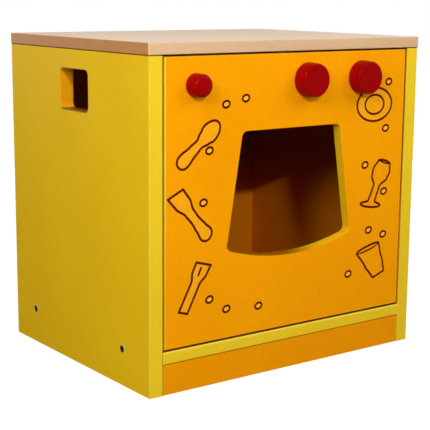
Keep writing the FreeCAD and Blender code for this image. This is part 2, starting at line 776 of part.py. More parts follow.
lining = new_body("window_band")
pad(lining, draw_window(new_sketch(lining, "XZ_Plane"), "edge_band"), "door_thickness", forward=False)
pocket(lining, draw_window(new_sketch(lining, "XZ_Plane"), "0"), "door_thickness", forward=False)
round_edges(lining, "window_corner", corners_of_rim(lining, FACING, outer=False))
round_edges(lining, "window_corner + edge_band", corners_of_rim(lining, FACING, outer=True))
round_edges(lining, "band_round", edges_of_rim(lining, FACING, outer=False))
place(lining, "door_middle", "door_front", "window_shoulder")
node(lining, "window_edge_band")


# Pivots: a plate with a pin in the shelf and in the worktop, and a flanged bush for each in the door

def pivot_plate(name, gap, z, turn):
    plate = new_body(name)
    outline = new_sketch(plate, "XY_Plane", "plate_end - plate_length", "0 - plate_width / 2")
    pad(plate, draw_rectangle(outline, "plate_length", "plate_width"), "plate_thickness")
    round_edges(plate, "plate_corner", corners_of_rim(plate, Vector(0, 0, 1), outer=True))
    for back_from_pin in PLATE_SCREWS:
        countersink(plate, ("0 - (%s)" % back_from_pin, 0), "wood_screw", "wood_screw_head",
                    "plate_thickness")
    pin = draw_circle(new_sketch(plate, "XY_Plane"), "pivot_pin")
    pad(plate, pin, "plate_thickness + %s + pivot_pin_reach" % gap)
    bevel_edges(plate, "pivot_pin_bevel",
                lambda edge: edge.BoundBox.ZMin > plate.Shape.BoundBox.ZMax - TOUCHING)
    place(plate, "pivot_across", "pivot_deep", z, turn)
    return node(plate, name)


def pivot_bush(name, gap, z, turn):
    bore = "pivot_pin + 2 * shaft_clearance"
    flange = "%s - running_gap" % gap
    body = fuse(name + "_blank", [
        cylinder(name + "_flange", "pivot_bush_flange", flange, low="0 - (%s)" % flange),
        cylinder(name + "_sleeve", "pivot_bush_diameter", "pivot_bush_length"),
    ])
    hole = cylinder(name + "_bore", bore, "pivot_bush_length + (%s)" % flange, low="0 - (%s)" % flange)
    return node(place(cut(name, body, hole), "pivot_across", "pivot_deep", z, turn), name)


pivot_plate("lower_pivot_plate", "door_gap_bottom", "shelf_top - plate_thickness", UPRIGHT)
pivot_plate("upper_pivot_plate", "door_gap_top", "side_height + plate_thickness", DOWNWARD)
pivot_bush("lower_pivot_bush", "door_gap_bottom", "door_bottom", UPRIGHT)
pivot_bush("upper_pivot_bush", "door_gap_top", "door_top", DOWNWARD)
plate_screw = countersunk_screw("plate_screw", "wood_screw_head", "wood_screw", "plate_screw_length")
copies("pivot_plate_screws", plate_screw,
       [("pivot_across - (%s)" % back_from_pin, "pivot_deep", level, turn)
        for level, turn in (("shelf_top", UPRIGHT), ("side_height", DOWNWARD))
        for back_from_pin in PLATE_SCREWS])


# Dials: a turned knob on a machine screw that runs in a bush through the door

def turned_knob(name, draw_profile, bore_diameter, bore_depth):
    """A knob turned about its axis, with a blind hole for its insert from the back."""
    knob = new_body(name)
    revolve(knob, draw_profile(new_sketch(knob, "XZ_Plane")))
    drill(knob, "XY_Plane", (0, 0), bore_diameter, bore_depth)
    return knob


def draw_dial_profile(sketch):
    """Half of a dial in section: a flat back, a slightly tapering side and a flat face."""
    radius, face, height = SIZES["dial_diameter"] / 2, SIZES["dial_face_diameter"] / 2, SIZES["dial_height"]
    corners = [Vector(0, 0), Vector(radius, 0), Vector(face, height), Vector(0, height)]
    base, _, top, axis = [sketch.addGeometry(Part.LineSegment(corners[i], corners[(i + 1) % 4]))
                          for i in range(4)]
    for i in range(4):
        constrain(sketch, "Coincident", i, 2, (i + 1) % 4, 1)
    constrain(sketch, "Horizontal", base)
    constrain(sketch, "Horizontal", top)
    constrain(sketch, "Coincident", base, 1, -1, 1)
    constrain(sketch, "PointOnObject", axis, 1, -2)
    constrain(sketch, "DistanceX", base, 1, base, 2, formula="dial_diameter / 2", guess=radius)
    constrain(sketch, "DistanceX", top, 2, top, 1, formula="dial_face_diameter / 2", guess=face)
    constrain(sketch, "DistanceY", base, 1, top, 1, formula="dial_height", guess=height)
    return sketch


def draw_pull_profile(sketch):
    """Half of the pull knob in section: a tapering side, a well rounded rim and a low dome."""
    foot, face = SIZES["pull_diameter"] / 2, SIZES["pull_face_diameter"] / 2
    height, rounding, dome = SIZES["pull_height"], SIZES["pull_round"], SIZES["pull_dome"]
    normal = Vector(0, 0, 1)
    dome_centre = Vector(0, height - dome)
    rim_centre = Vector(face - rounding, 0)
    rim_centre.y = dome_centre.y + math.sqrt((dome - rounding) ** 2 - rim_centre.x ** 2)
    to_foot = Vector(foot, 0) - rim_centre
    side_angle = math.atan2(to_foot.y, to_foot.x) + math.acos(rounding / to_foot.Length)
    side_end = rim_centre + Vector(math.cos(side_angle), math.sin(side_angle)) * rounding
    dome_angle = math.atan2(rim_centre.y - dome_centre.y, rim_centre.x)
    arcs = ((rim_centre, rounding, side_angle, dome_angle), (dome_centre, dome, dome_angle, math.pi / 2))
    base = sketch.addGeometry(Part.LineSegment(Vector(0, 0), Vector(foot, 0)))
    side = sketch.addGeometry(Part.LineSegment(Vector(foot, 0), side_end))
    rim, crown = [sketch.addGeometry(Part.ArcOfCircle(Part.Circle(centre, normal, radius), low, high))
                  for centre, radius, low, high in arcs]
    axis = sketch.addGeometry(Part.LineSegment(Vector(0, height), Vector(0, 0)))
    constrain(sketch, "Coincident", base, 1, -1, 1)
    constrain(sketch, "Horizontal", base)
    constrain(sketch, "Coincident", base, 2, side, 1)
    constrain(sketch, "Tangent", side, 2, rim, 1)
    constrain(sketch, "Tangent", rim, 2, crown, 1)
    constrain(sketch, "Coincident", crown, 2, axis, 1)
    constrain(sketch, "Coincident", axis, 2, base, 1)
    constrain(sketch, "Vertical", axis)
    constrain(sketch, "PointOnObject", crown, 3, -2)
    constrain(sketch, "DistanceX", base, 1, base, 2, formula="pull_diameter / 2", guess=foot)
    constrain(sketch, "DistanceX", -1, 1, rim, 3, formula="pull_face_diameter / 2 - pull_round",
              guess=rim_centre.x)
    constrain(sketch, "DistanceY", base, 1, axis, 1, formula="pull_height", guess=height)
    constrain(sketch, "Radius", rim, formula="pull_round", guess=rounding)
    constrain(sketch, "Radius", crown, formula="pull_dome", guess=dome)
    return sketch


dial_screw = machine_screw("dial_screw", "dial_screw_head", "dial_screw_head_height", "dial_screw",
                           "dial_screw_length")
dial_washer = washer("dial_washer", "dial_washer", "dial_screw + 2 * shaft_clearance", "washer_thickness")
felt = washer("felt", "felt_diameter", "dial_screw + 2 * shaft_clearance", "dial_gap - running_gap")
dial_insert = washer("dial_insert", "dial_insert", "dial_screw + 2 * shaft_clearance", "dial_insert_length")

for which, across in DIAL_PLACES.items():
    dial = turned_knob("dial_" + which, draw_dial_profile, "dial_insert + bore", "dial_bore")
    face_level = SIZES["dial_height"] - TOUCHING
    round_edges(dial, "dial_round", lambda edge: edge.BoundBox.ZMin > face_level)
    node(place(dial, across, "dial_back", "knob_row", TO_FRONT), "dial_knob_" + which)
    axis_places = {
        "dial_felt_disc_": (felt, "dial_back + dial_gap - running_gap", TO_FRONT),
        "dial_insert_": (dial_insert, "dial_back", TO_FRONT),
        "dial_washer_": (dial_washer, "dial_washer_front", TO_BACK),
        "dial_screw_": (dial_screw, "dial_washer_front + washer_thickness", TO_BACK),
    }
    for name, (master, deep, turn) in axis_places.items():
        copies(name + which, master, [(across, deep, "knob_row", turn)])

dial_bush_blank = fuse("dial_bush_blank", [
    cylinder("dial_bush_sleeve", "dial_bush_diameter", "door_thickness + dial_bush_lip"),
    cylinder("dial_bush_lip", "dial_bush_flange", "dial_bush_lip", low="door_thickness"),
])
dial_bush = cut("dial_bush", dial_bush_blank, cylinder("dial_bush_bore", "dial_screw + 2 * shaft_clearance",
                                                       "door_thickness + dial_bush_lip"))
copies("dial_bushes", dial_bush,
       [(across, "door_front", "knob_row", TO_BACK) for across in DIAL_PLACES.values()])

# Pull knob, fixed to the door by a screw from behind

pull = turned_knob("pull", draw_pull_profile, "pull_insert + bore", "pull_bore")
node(place(pull, "pull_place", "door_front", "knob_row", TO_FRONT), "pull_knob")
pull_insert = washer("pull_insert", "pull_insert", "pull_screw + 2 * shaft_clearance", "pull_insert_length")
copies("pull_knob_insert", pull_insert, [("pull_place", "door_front", "knob_row", TO_FRONT)])
pull_washer = washer("pull_washer", "pull_washer", "pull_screw + 2 * shaft_clearance", "washer_thickness")
copies("pull_knob_washer", pull_washer, [("pull_place", "door_back", "knob_row", TO_BACK)])
pull_screw = machine_screw("pull_screw", "pull_screw_head", "pull_screw_head_height", "pull_screw",
                           "pull_screw_length")
copies("pull_knob_screw", pull_screw,
       [("pull_place", "door_back + washer_thickness", "knob_row", TO_BACK)])

# Magnetic catch under the worktop, and the strike plate on the back of the door

catch = new_body("catch")
flange_sketch = new_sketch(catch, "XY_Plane", "0 - catch_flange / 2", 0, "catch_height - catch_flange_height")
pad(catch, draw_rectangle(flange_sketch, "catch_flange", "catch_depth"), "catch_flange_height")
round_edges(catch, "plate_corner", corners_of_rim(catch, Vector(0, 0, 1), outer=True))
housing_sketch = new_sketch(catch, "XY_Plane", "0 - catch_width / 2", 0)
pad(catch, draw_rectangle(housing_sketch, "catch_width", "catch_depth"), "catch_height")
rout(catch, "XZ_Plane", "0 - magnet_width / 2", "magnet_low", "magnet_width", "magnet_pack",
     "catch_depth - catch_wall", forward=False)
for sign in "-+":
    drill(catch, "XY_Plane", ("0 %s catch_screw_spacing / 2" % sign, "catch_depth / 2"),
          "wood_screw + 2 * seat_clearance", "catch_height")
node(place(catch, "catch_place", "catch_front", "side_height - catch_height"), "magnetic_catch_housing")

magnet_z = "side_height - catch_height + magnet_low"
magnet = block("magnet", "catch_place - magnet_width / 2", "catch_front", magnet_z + " + pole_thickness",
               "magnet_width", "catch_depth - catch_wall", "magnet_thickness")
node(magnet, "catch_magnet")
poles = [block("pole", "catch_place - magnet_width / 2", "catch_front - pole_proud", magnet_z + rise,
               "magnet_width", "catch_depth - catch_wall + pole_proud", "pole_thickness")
         for rise in ("", " + pole_thickness + magnet_thickness")]
pole_group = doc.addObject("Part::Compound", "pole_group")
pole_group.Links = poles
node(pole_group, "catch_pole_plates")
catch_screw = machine_screw("catch_screw", "wood_screw_head", "wood_screw_head_height", "wood_screw",
                            "catch_screw_length")
copies("catch_screws", catch_screw,
       [("catch_place %s catch_screw_spacing / 2" % sign, "catch_front + catch_depth / 2",
         "side_height - catch_flange_height", DOWNWARD) for sign in "-+"])

strike = new_body("strike")
pad(strike, draw_rectangle(new_sketch(strike, "XY_Plane", "0 - strike_width / 2", "0 - strike_height / 2"),
                           "strike_width", "strike_height"), "strike_thickness")
round_edges(strike, "plate_corner", corners_of_rim(strike, Vector(0, 0, 1), outer=True))
for sign in "-+":
    countersink(strike, ("0 %s strike_screw_spacing / 2" % sign, 0), "strike_screw", "strike_screw_head",
                "strike_thickness")
node(place(strike, "catch_place", "door_back", "catch_middle_height", TO_BACK), "strike_plate")
strike_screw = countersunk_screw("strike_screw", "strike_screw_head", "strike_screw", "strike_screw_length")
copies("strike_plate_screws", strike_screw,
       [("catch_place %s strike_screw_spacing / 2" % sign, "door_back + strike_thickness",
         "catch_middle_height", TO_BACK) for sign in "-+"])

# Angle brackets between the side panels and the worktop

bracket = new_body("bracket")
pad(bracket, draw_rectangle(new_sketch(bracket, "XY_Plane"), "bracket_leg", "bracket_width"), "bracket_leg")
rout(bracket, "XZ_Plane", "bracket_thickness", 0, "bracket_leg", "bracket_leg - bracket_thickness",
     "bracket_width", forward=False)
round_edges(bracket, "bracket_thickness",
            lambda edge: runs_along(edge, "y") and edge.BoundBox.XMin < TOUCHING
            and edge.BoundBox.ZMin > bracket.Shape.BoundBox.ZMax - TOUCHING)
drill(bracket, "XY_Plane", ("bracket_hole", "bracket_width / 2"),
      "wood_screw + 2 * seat_clearance", "bracket_leg")
drill(bracket, "YZ_Plane", ("bracket_width / 2", "bracket_leg - bracket_hole"),
      "wood_screw + 2 * seat_clearance", "bracket_leg")
copies("worktop_brackets", bracket,
       [(end, "front + %s %s bracket_width / 2" % (row, sign), "side_height - bracket_leg", turn)
        for end, sign, turn in (("left_inside", "-", UPRIGHT), ("0 - left_inside", "+", HALF_TURN))
        for row in BRACKET_ROWS])
bracket_screw = machine_screw("bracket_screw", "wood_screw_head", "wood_screw_head_height", "wood_screw",
                              "bracket_screw_length")
copies("worktop_bracket_screws", bracket_screw,
       [(place_x, "front + " + row, place_z, turn)
        for row in BRACKET_ROWS
        for place_x, place_z, turn in (
            ("left_inside + bracket_thickness", "side_height - bracket_hole", TO_RIGHT),
            ("0 - left_inside - bracket_thickness", "side_height - bracket_hole", TO_LEFT),
            ("left_inside + bracket_hole", "side_height - bracket_thickness", DOWNWARD),
            ("0 - left_inside - bracket_hole", "side_height - bracket_thickness", DOWNWARD))])

# Connector screws, dowels and the back panel's screws

confirmat_blank = fuse("confirmat_blank", [
    cylinder("confirmat_head", "confirmat_head", "confirmat_head_height", low="0 - confirmat_head_height"),
    cylinder("confirmat_collar", "confirmat_collar", "side_thickness - confirmat_sunk",
             low="confirmat_sunk - side_thickness"),
    cylinder("confirmat_thread", "confirmat_thread", "confirmat_length", low="0 - confirmat_length"),
])
confirmat_drive = socket("confirmat_drive", "confirmat_socket",
                         "confirmat_head_height * %s" % DRIVE_DEPTH, "0")
confirmat = cut("confirmat", confirmat_blank, confirmat_drive)
copies("confirmat_screws", confirmat,
       [(end, "front + " + row, "shelf_middle", turn)
        for end, turn in (("left + confirmat_sunk", TO_LEFT), ("0 - left - confirmat_sunk", TO_RIGHT))
        for row in CONFIRMAT_ROWS])

dowel = cylinder("dowel", "dowel_diameter", "dowel_length")
dowel_ends = (("left_inside - dowel_in_side", TO_RIGHT), ("0 - left_inside + dowel_in_side", TO_LEFT))
copies("shelf_dowels", dowel, [(end, "front + " + row, "shelf_middle", turn)
                               for end, turn in dowel_ends for row in SHELF_DOWEL_ROWS])
copies("plinth_dowels", dowel, [(end, "front + plinth_middle", row, turn)
                                for end, turn in dowel_ends for row in PLINTH_DOWEL_ROWS])
copies("worktop_dowels", dowel, [(sign + "(left + side_thickness / 2)", "front + " + row,
                                  "side_height + dowel_in_worktop - dowel_length", UPRIGHT)
                                 for sign in ("", "0 - ") for row in WORKTOP_DOWEL_ROWS])
back_screw = machine_screw("back_screw", "wood_screw_head", "wood_screw_head_height", "wood_screw",
                           "back_screw_length")
copies("back_panel_screws", back_screw,
       [("left_inside + " + row, "front + groove_front + back_thickness", "shelf_middle", TO_BACK)
        for row in BACK_SCREW_ROWS])

# Check every object, then write one file for each sub-part

doc.recompute()
for thing in doc.Objects:
    if "Invalid" in thing.State or "Error" in thing.State:
        raise RuntimeError("%s failed: %s" % (thing.Label, thing.State))
    if thing.TypeId == "PartDesign::Pocket":
        removed = thing.BaseFeature.Shape.Volume - thing.Shape.Volume
        if removed < 0.1:
            raise RuntimeError("%s cuts nothing" % thing.Label)
for thing in nodes:
    if thing.Shape.isNull() or not thing.Shape.isValid():
        raise RuntimeError("%s has no valid shape" % thing.Label)

os.makedirs("parts", exist_ok=True)
for thing in nodes:
    thing.Shape.exportStep("parts/%s.step" % thing.Label)
    print("%s: %d solids, %.1f mm3" % (thing.Label, len(thing.Shape.Solids), thing.Shape.Volume))
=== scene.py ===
import math
import bpy
import numpy as np
from mathutils import Matrix, Vector


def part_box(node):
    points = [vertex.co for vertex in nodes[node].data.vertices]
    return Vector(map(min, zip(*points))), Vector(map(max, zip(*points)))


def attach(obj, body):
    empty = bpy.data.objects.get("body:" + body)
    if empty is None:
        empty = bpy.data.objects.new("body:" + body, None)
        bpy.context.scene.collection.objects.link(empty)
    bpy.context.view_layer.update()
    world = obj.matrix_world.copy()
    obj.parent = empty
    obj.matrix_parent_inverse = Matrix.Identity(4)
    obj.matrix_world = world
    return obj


# Toy dishwasher, in metres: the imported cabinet, door and knobs get their finishes here, and the door gets
# its drawn tableware. +Z is up and the door faces -Y.

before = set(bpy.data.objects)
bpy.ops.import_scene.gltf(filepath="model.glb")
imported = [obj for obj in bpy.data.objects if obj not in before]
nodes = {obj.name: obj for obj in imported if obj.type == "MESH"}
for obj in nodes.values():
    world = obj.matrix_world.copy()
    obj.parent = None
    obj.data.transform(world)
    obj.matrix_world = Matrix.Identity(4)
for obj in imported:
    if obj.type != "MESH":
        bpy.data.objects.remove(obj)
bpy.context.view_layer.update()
scene = bpy.context.scene
scene.view_settings.view_transform = "Standard"
print("frame loaded:", len(nodes), "CAD nodes")

millimetre = 0.001
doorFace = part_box("door_board")[0].y


# Camera, at the height and angle that the photograph was taken from

cameraView = {
    "place": (-1.07513, -1.45692, 0.55070),
    "turn": -36.389,      # degrees about the vertical, from looking along +Y
    "tilt": -10.932,      # degrees above the horizon
    "roll": 0.476,
    "lens": 97.18,
}


def makeCamera(look):
    turn, tilt, roll = (math.radians(look[key]) for key in ("turn", "tilt", "roll"))
    forward = Vector((-math.sin(turn) * math.cos(tilt), math.cos(turn) * math.cos(tilt), math.sin(tilt)))
    level = Vector((math.cos(turn), math.sin(turn), 0))
    raised = level.cross(forward)
    across = level * math.cos(roll) + raised * math.sin(roll)
    upward = raised * math.cos(roll) - level * math.sin(roll)
    camera = bpy.data.objects.new("camera", bpy.data.cameras.new("camera"))
    scene.collection.objects.link(camera)
    camera.data.lens = look["lens"]
    camera.matrix_world = Matrix.Translation(look["place"]) @ Matrix((across, upward, -forward)).transposed().to_4x4()
    scene.camera = camera


makeCamera(cameraView)


# Shader helpers

def linear(red, green, blue):
    # a colour as the eye names it, 0 to 255, turned into the linear values that shaders take
    parts = np.array((red, green, blue)) / 255
    values = np.where(parts <= 0.04045, parts / 12.92, ((parts + 0.055) / 1.055) ** 2.4)
    return (*values.tolist(), 1.0)


def put(tree, kind, inputs=None, **settings):
    # one shader node: each input is a value, or another node's output to link from
    node = tree.nodes.new("ShaderNode" + kind)
    for name, value in settings.items():
        setattr(node, name, value)
    for name, value in (inputs or {}).items():
        if isinstance(value, bpy.types.NodeSocket):
            tree.links.new(value, node.inputs[name])
        else:
            node.inputs[name].default_value = value
    return node


def calculate(tree, operation, *values):
    return put(tree, "Math", dict(enumerate(values)), operation=operation).outputs[0]


def mixColours(tree, share, first, second, blend="MIX"):
    mix = put(tree, "Mix", {"Factor": share}, data_type="RGBA", blend_type=blend)
    for socket, value in ((mix.inputs[6], first), (mix.inputs[7], second)):
        if isinstance(value, bpy.types.NodeSocket):
            tree.links.new(value, socket)
        else:
            socket.default_value = value
    return mix.outputs[2]


def noise(tree, place, scale, detail=2.0, roughness=0.5, stretch=(1, 1, 1)):
    moved = put(tree, "Mapping", {"Vector": place, "Scale": stretch}).outputs["Vector"]
    return put(tree, "TexNoise", {"Vector": moved, "Scale": scale, "Detail": detail,
                                  "Roughness": roughness}).outputs["Fac"]


def span(tree, value, low, high, bottom=0.0, top=1.0, smooth=True):
    # the value's stretch from low to high, carried over to bottom to top
    kind = "SMOOTHSTEP" if smooth else "LINEAR"
    return put(tree, "MapRange", {"Value": value, "From Min": low, "From Max": high, "To Min": bottom,
                                  "To Max": top}, interpolation_type=kind).outputs["Result"]


def newGroup(name, inputs, outputs):
    group = bpy.data.node_groups.new(name, "ShaderNodeTree")
    for label, kind, value in inputs:
        socket = group.interface.new_socket(label, in_out="INPUT", socket_type="NodeSocket" + kind)
        socket.default_value = value
    for label, kind in outputs:
        group.interface.new_socket(label, in_out="OUTPUT", socket_type="NodeSocket" + kind)
    return group, group.nodes.new("NodeGroupInput").outputs, group.nodes.new("NodeGroupOutput").inputs


def place(tree):
    return put(tree, "TexCoord").outputs["Object"]


def useGroup(tree, group, values):
    node = tree.nodes.new("ShaderNodeGroup")
    node.node_tree = group
    for name, value in values.items():
        if isinstance(value, bpy.types.NodeSocket):
            tree.links.new(value, node.inputs[name])
        else:
            node.inputs[name].default_value = value
    return node.outputs


def newMaterial(name):
    material = bpy.data.materials.new(name)
    material.use_nodes = True
    tree = material.node_tree
    tree.nodes.clear()
    shader = tree.nodes.new("ShaderNodeBsdfPrincipled")
    output = tree.nodes.new("ShaderNodeOutputMaterial")
    tree.links.new(shader.outputs[0], output.inputs[0])
    return material, tree, shader.inputs


def bump(tree, height, strength, distance):
    return put(tree, "Bump", {"Height": height, "Strength": strength, "Distance": distance}).outputs["Normal"]


# Effects that several finishes share

def makeArrisGroup():
    # 1 within a reach of the straight edges of the box from Low to High, broken up by noise: the second
    # smallest of the three distances to the box's sides is the distance to its nearest edge
    group, given, made = newGroup("arrisWear", [
        ("Low", "Vector", (0, 0, 0)), ("High", "Vector", (1, 1, 1)), ("Reach", "Float", 0.002),
        ("Unevenness", "Float", 0.5)], [("Mask", "Float")])
    here = place(group)
    fromLow = put(group, "VectorMath", {0: here, 1: given["Low"]}, operation="SUBTRACT").outputs[0]
    fromHigh = put(group, "VectorMath", {0: given["High"], 1: here}, operation="SUBTRACT").outputs[0]
    nearest = put(group, "VectorMath", {0: fromLow, 1: fromHigh}, operation="MINIMUM").outputs[0]
    x, y, z = put(group, "SeparateXYZ", {0: nearest}).outputs
    smaller, larger = calculate(group, "MINIMUM", x, y), calculate(group, "MAXIMUM", x, y)
    second = calculate(group, "MAXIMUM", smaller, calculate(group, "MINIMUM", larger, z))
    coarse = noise(group, here, 34, 3, 0.6)
    fine = noise(group, here, 420, 2)
    patchy = calculate(group, "ADD", calculate(group, "MULTIPLY", coarse, 0.7), calculate(group, "MULTIPLY", fine, 0.3))
    share = calculate(group, "MULTIPLY", calculate(group, "SUBTRACT", patchy, 0.5), given["Unevenness"])
    reach = calculate(group, "MULTIPLY", given["Reach"], calculate(group, "ADD", 1.0, calculate(group, "MULTIPLY", share, 6.0)))
    group.links.new(span(group, calculate(group, "DIVIDE", second, calculate(group, "MAXIMUM", reach, 0.00005)), 0.0, 1.0, 1.0, 0.0),
                    made["Mask"])
    return group


def makeCoatingGroup():
    # a pearl-finished coating: faint broad tone, fine mottle and a shallow pebble in the surface
    group, given, made = newGroup("pearlCoating", [
        ("Colour", "Color", (1, 1, 1, 1)), ("Deeper", "Color", (1, 1, 1, 1)), ("Pebble", "Float", 900.0),
        ("Roughness", "Float", 0.45)], [("Colour", "Color"), ("Roughness", "Float"), ("Height", "Float")])
    here = place(group)
    broad = noise(group, here, 5.5, 2, 0.5)
    mottle = noise(group, here, 160, 2, 0.6)
    share = calculate(group, "ADD", span(group, broad, 0.3, 0.7, 0.0, 0.6), span(group, mottle, 0.35, 0.75, 0.0, 0.4))
    group.links.new(mixColours(group, share, given["Colour"], given["Deeper"]), made["Colour"])
    pebble = put(group, "TexNoise", {"Vector": here, "Scale": given["Pebble"], "Detail": 1.5}).outputs["Fac"]
    smear = noise(group, here, 14, 3, 0.6)
    rough = calculate(group, "ADD", given["Roughness"], span(group, smear, 0.3, 0.7, -0.05, 0.07))
    group.links.new(calculate(group, "ADD", rough, span(group, pebble, 0.3, 0.7, -0.03, 0.03)), made["Roughness"])
    group.links.new(pebble, made["Height"])
    return group


def makeBeechGroup():
    # steamed beech along X: long soft figure, fine fibre, and short dark ray flecks
    group, given, made = newGroup("beechGrain", [
        ("Pale", "Color", (1, 1, 1, 1)), ("Figure", "Color", (1, 1, 1, 1)), ("Fleck", "Color", (1, 1, 1, 1)),
        ("Roughness", "Float", 0.4)], [("Colour", "Color"), ("Roughness", "Float"), ("Height", "Float")])
    here = place(group)
    wander = noise(group, here, 3.0, 2, 0.5, stretch=(0.5, 1.5, 1.5))
    bent = put(group, "VectorMath", {0: here, 1: put(group, "CombineXYZ", {"Y": calculate(group, "MULTIPLY", wander, 0.05)}).outputs[0]},
               operation="ADD").outputs[0]
    figure = noise(group, bent, 22, 3, 0.55, stretch=(0.12, 1, 1))
    fibre = noise(group, bent, 330, 3, 0.6, stretch=(0.05, 1, 1))
    streak = noise(group, bent, 480, 1, 0.5, stretch=(0.12, 1, 1))
    flecks = span(group, streak, 0.62, 0.72)
    toned = mixColours(group, span(group, figure, 0.35, 0.72, 0.0, 0.75), given["Pale"], given["Figure"])
    combed = mixColours(group, span(group, fibre, 0.4, 0.7, 0.0, 0.3), toned, given["Figure"])
    group.links.new(mixColours(group, calculate(group, "MULTIPLY", flecks, 0.4), combed, given["Fleck"]), made["Colour"])
    group.links.new(calculate(group, "ADD", given["Roughness"], span(group, fibre, 0.3, 0.7, -0.03, 0.06)), made["Roughness"])
    group.links.new(calculate(group, "SUBTRACT", fibre, flecks), made["Height"])
    return group


def makeTurnedGroup():
    # metal or plastic with fine machining lines and faint stains
    group, given, made = newGroup("machined", [
        ("Colour", "Color", (1, 1, 1, 1)), ("Stain", "Color", (1, 1, 1, 1)), ("Lines", "Float", 900.0),
        ("Roughness", "Float", 0.3)], [("Colour", "Color"), ("Roughness", "Float"), ("Height", "Float")])
    here = place(group)
    lines = put(group, "TexNoise", {"Vector": here, "Scale": given["Lines"], "Detail": 2.0}).outputs["Fac"]
    stains = noise(group, here, 90, 3, 0.6)
    group.links.new(mixColours(group, span(group, stains, 0.4, 0.75, 0.0, 0.7), given["Colour"], given["Stain"]), made["Colour"])
    group.links.new(calculate(group, "ADD", given["Roughness"], span(group, stains, 0.3, 0.7, -0.06, 0.14)), made["Roughness"])
    group.links.new(lines, made["Height"])
    return group


arrisWear = makeArrisGroup()
pearlCoating = makeCoatingGroup()
beechGrain = makeBeechGroup()
machined = makeTurnedGroup()
print("shared effects made")


# Coated boards and edge bands

coatings = {
    "yellowBoard": {
        "colour": linear(254, 205, 22), "deeper": linear(247, 197, 17), "worn": linear(255, 226, 96),
        "pebble": 900, "roughness": 0.5, "specular": 0.015, "reach": 0.0009, "wear": 0.3, "relief": 0.00002,
    },
    "yellowBand": {
        "colour": linear(242, 204, 40), "deeper": linear(237, 197, 32), "worn": linear(252, 226, 100),
        "pebble": 500, "roughness": 0.38, "specular": 0.06, "reach": 0.0011, "wear": 0.4, "relief": 0.00001,
    },
    # painted shade: a darker, more orange copy of the yellow band for the window's lining, which lies in shade inside
    # the door
    "windowBand": {
        "colour": linear(241, 190, 22), "deeper": linear(236, 182, 18), "worn": linear(252, 212, 70),
        "pebble": 500, "roughness": 0.55, "specular": 0.01, "reach": 0.0011, "wear": 0.3, "relief": 0.00001,
    },
    "orangeBoard": {
        "colour": linear(253, 164, 2), "deeper": linear(247, 156, 1), "worn": linear(254, 182, 48),
        "pebble": 900, "roughness": 0.5, "specular": 0.03, "reach": 0.0009, "wear": 0.3, "relief": 0.00002,
    },
    "orangeBand": {
        "colour": linear(247, 170, 12), "deeper": linear(240, 160, 8), "worn": linear(252, 196, 70),
        "pebble": 500, "roughness": 0.4, "specular": 0.1, "reach": 0.0009, "wear": 0.3, "relief": 0.00001,
    },
    "orangeHardboard": {
        "colour": linear(232, 136, 6), "deeper": linear(222, 126, 4), "worn": linear(236, 160, 60),
        "pebble": 700, "roughness": 0.55, "specular": 0.06, "reach": 0.0006, "wear": 0.3, "relief": 0.00003,
    },
}
paintedInsideShade = {      # painted shade inside the cabinet: darker orange on its inner faces, duller still towards the top
    "reach": 0.0004,
    "sides": (linear(224, 130, 5), linear(172, 92, 3)),
    "back": (linear(238, 143, 5), linear(172, 92, 3)),
    "shelf": (linear(172, 96, 4), linear(172, 96, 4)),
    "door": (linear(224, 136, 5), linear(208, 122, 4)),
    "paintedShade": (0.17, 0.30),
}
bandFront = {       # the door's own coat laps over the front of its edge bands
    "depth": 0.0009, "freeEdge": -0.2200, "orangeBelow": (0.12, 0.34), "orangeBelowShare": 0.8,
}
gapShade = {           # painted shade: dark lines in the joints and gaps where boards meet, and a darker plinth
    "topJoint": 0.0016, "topJointShare": 0.85, "doorEdge": 0.0007, "doorDepth": 0.0025, "bandEdge": 0.0014, "hingeEdge": 0.0006,
    "hingeShare": 0.4, "shelfTop": 0.0006, "plinthTop": 0.0010,
    "colour": linear(64, 22, 8), "soft": linear(160, 98, 8), "plinthShade": linear(248, 245, 248),
}
# a painted highlight along the shelf band's upper edge
shelfSheen = {"reach": 0.0048, "share": 0.9, "colour": linear(255, 232, 78)}
# painted shade low in the handhold cut-outs
handholdShade = {"reach": (0.0022, 0.0030), "colour": linear(96, 42, 8), "share": 0.75}
# painted shade on the window lining's lower left
sillShade = {"colour": linear(140, 78, 6), "level": 0.200, "from": 0.07, "to": -0.01, "share": 0.95}
# a painted highlight beside each screw head
screwGlint = {"inner": 0.0060, "outer": 0.0078, "soft": 0.0005, "colour": linear(255, 238, 176), "share": 0.85}


def coordinates(tree):
    return put(tree, "SeparateXYZ", {0: place(tree)}).outputs


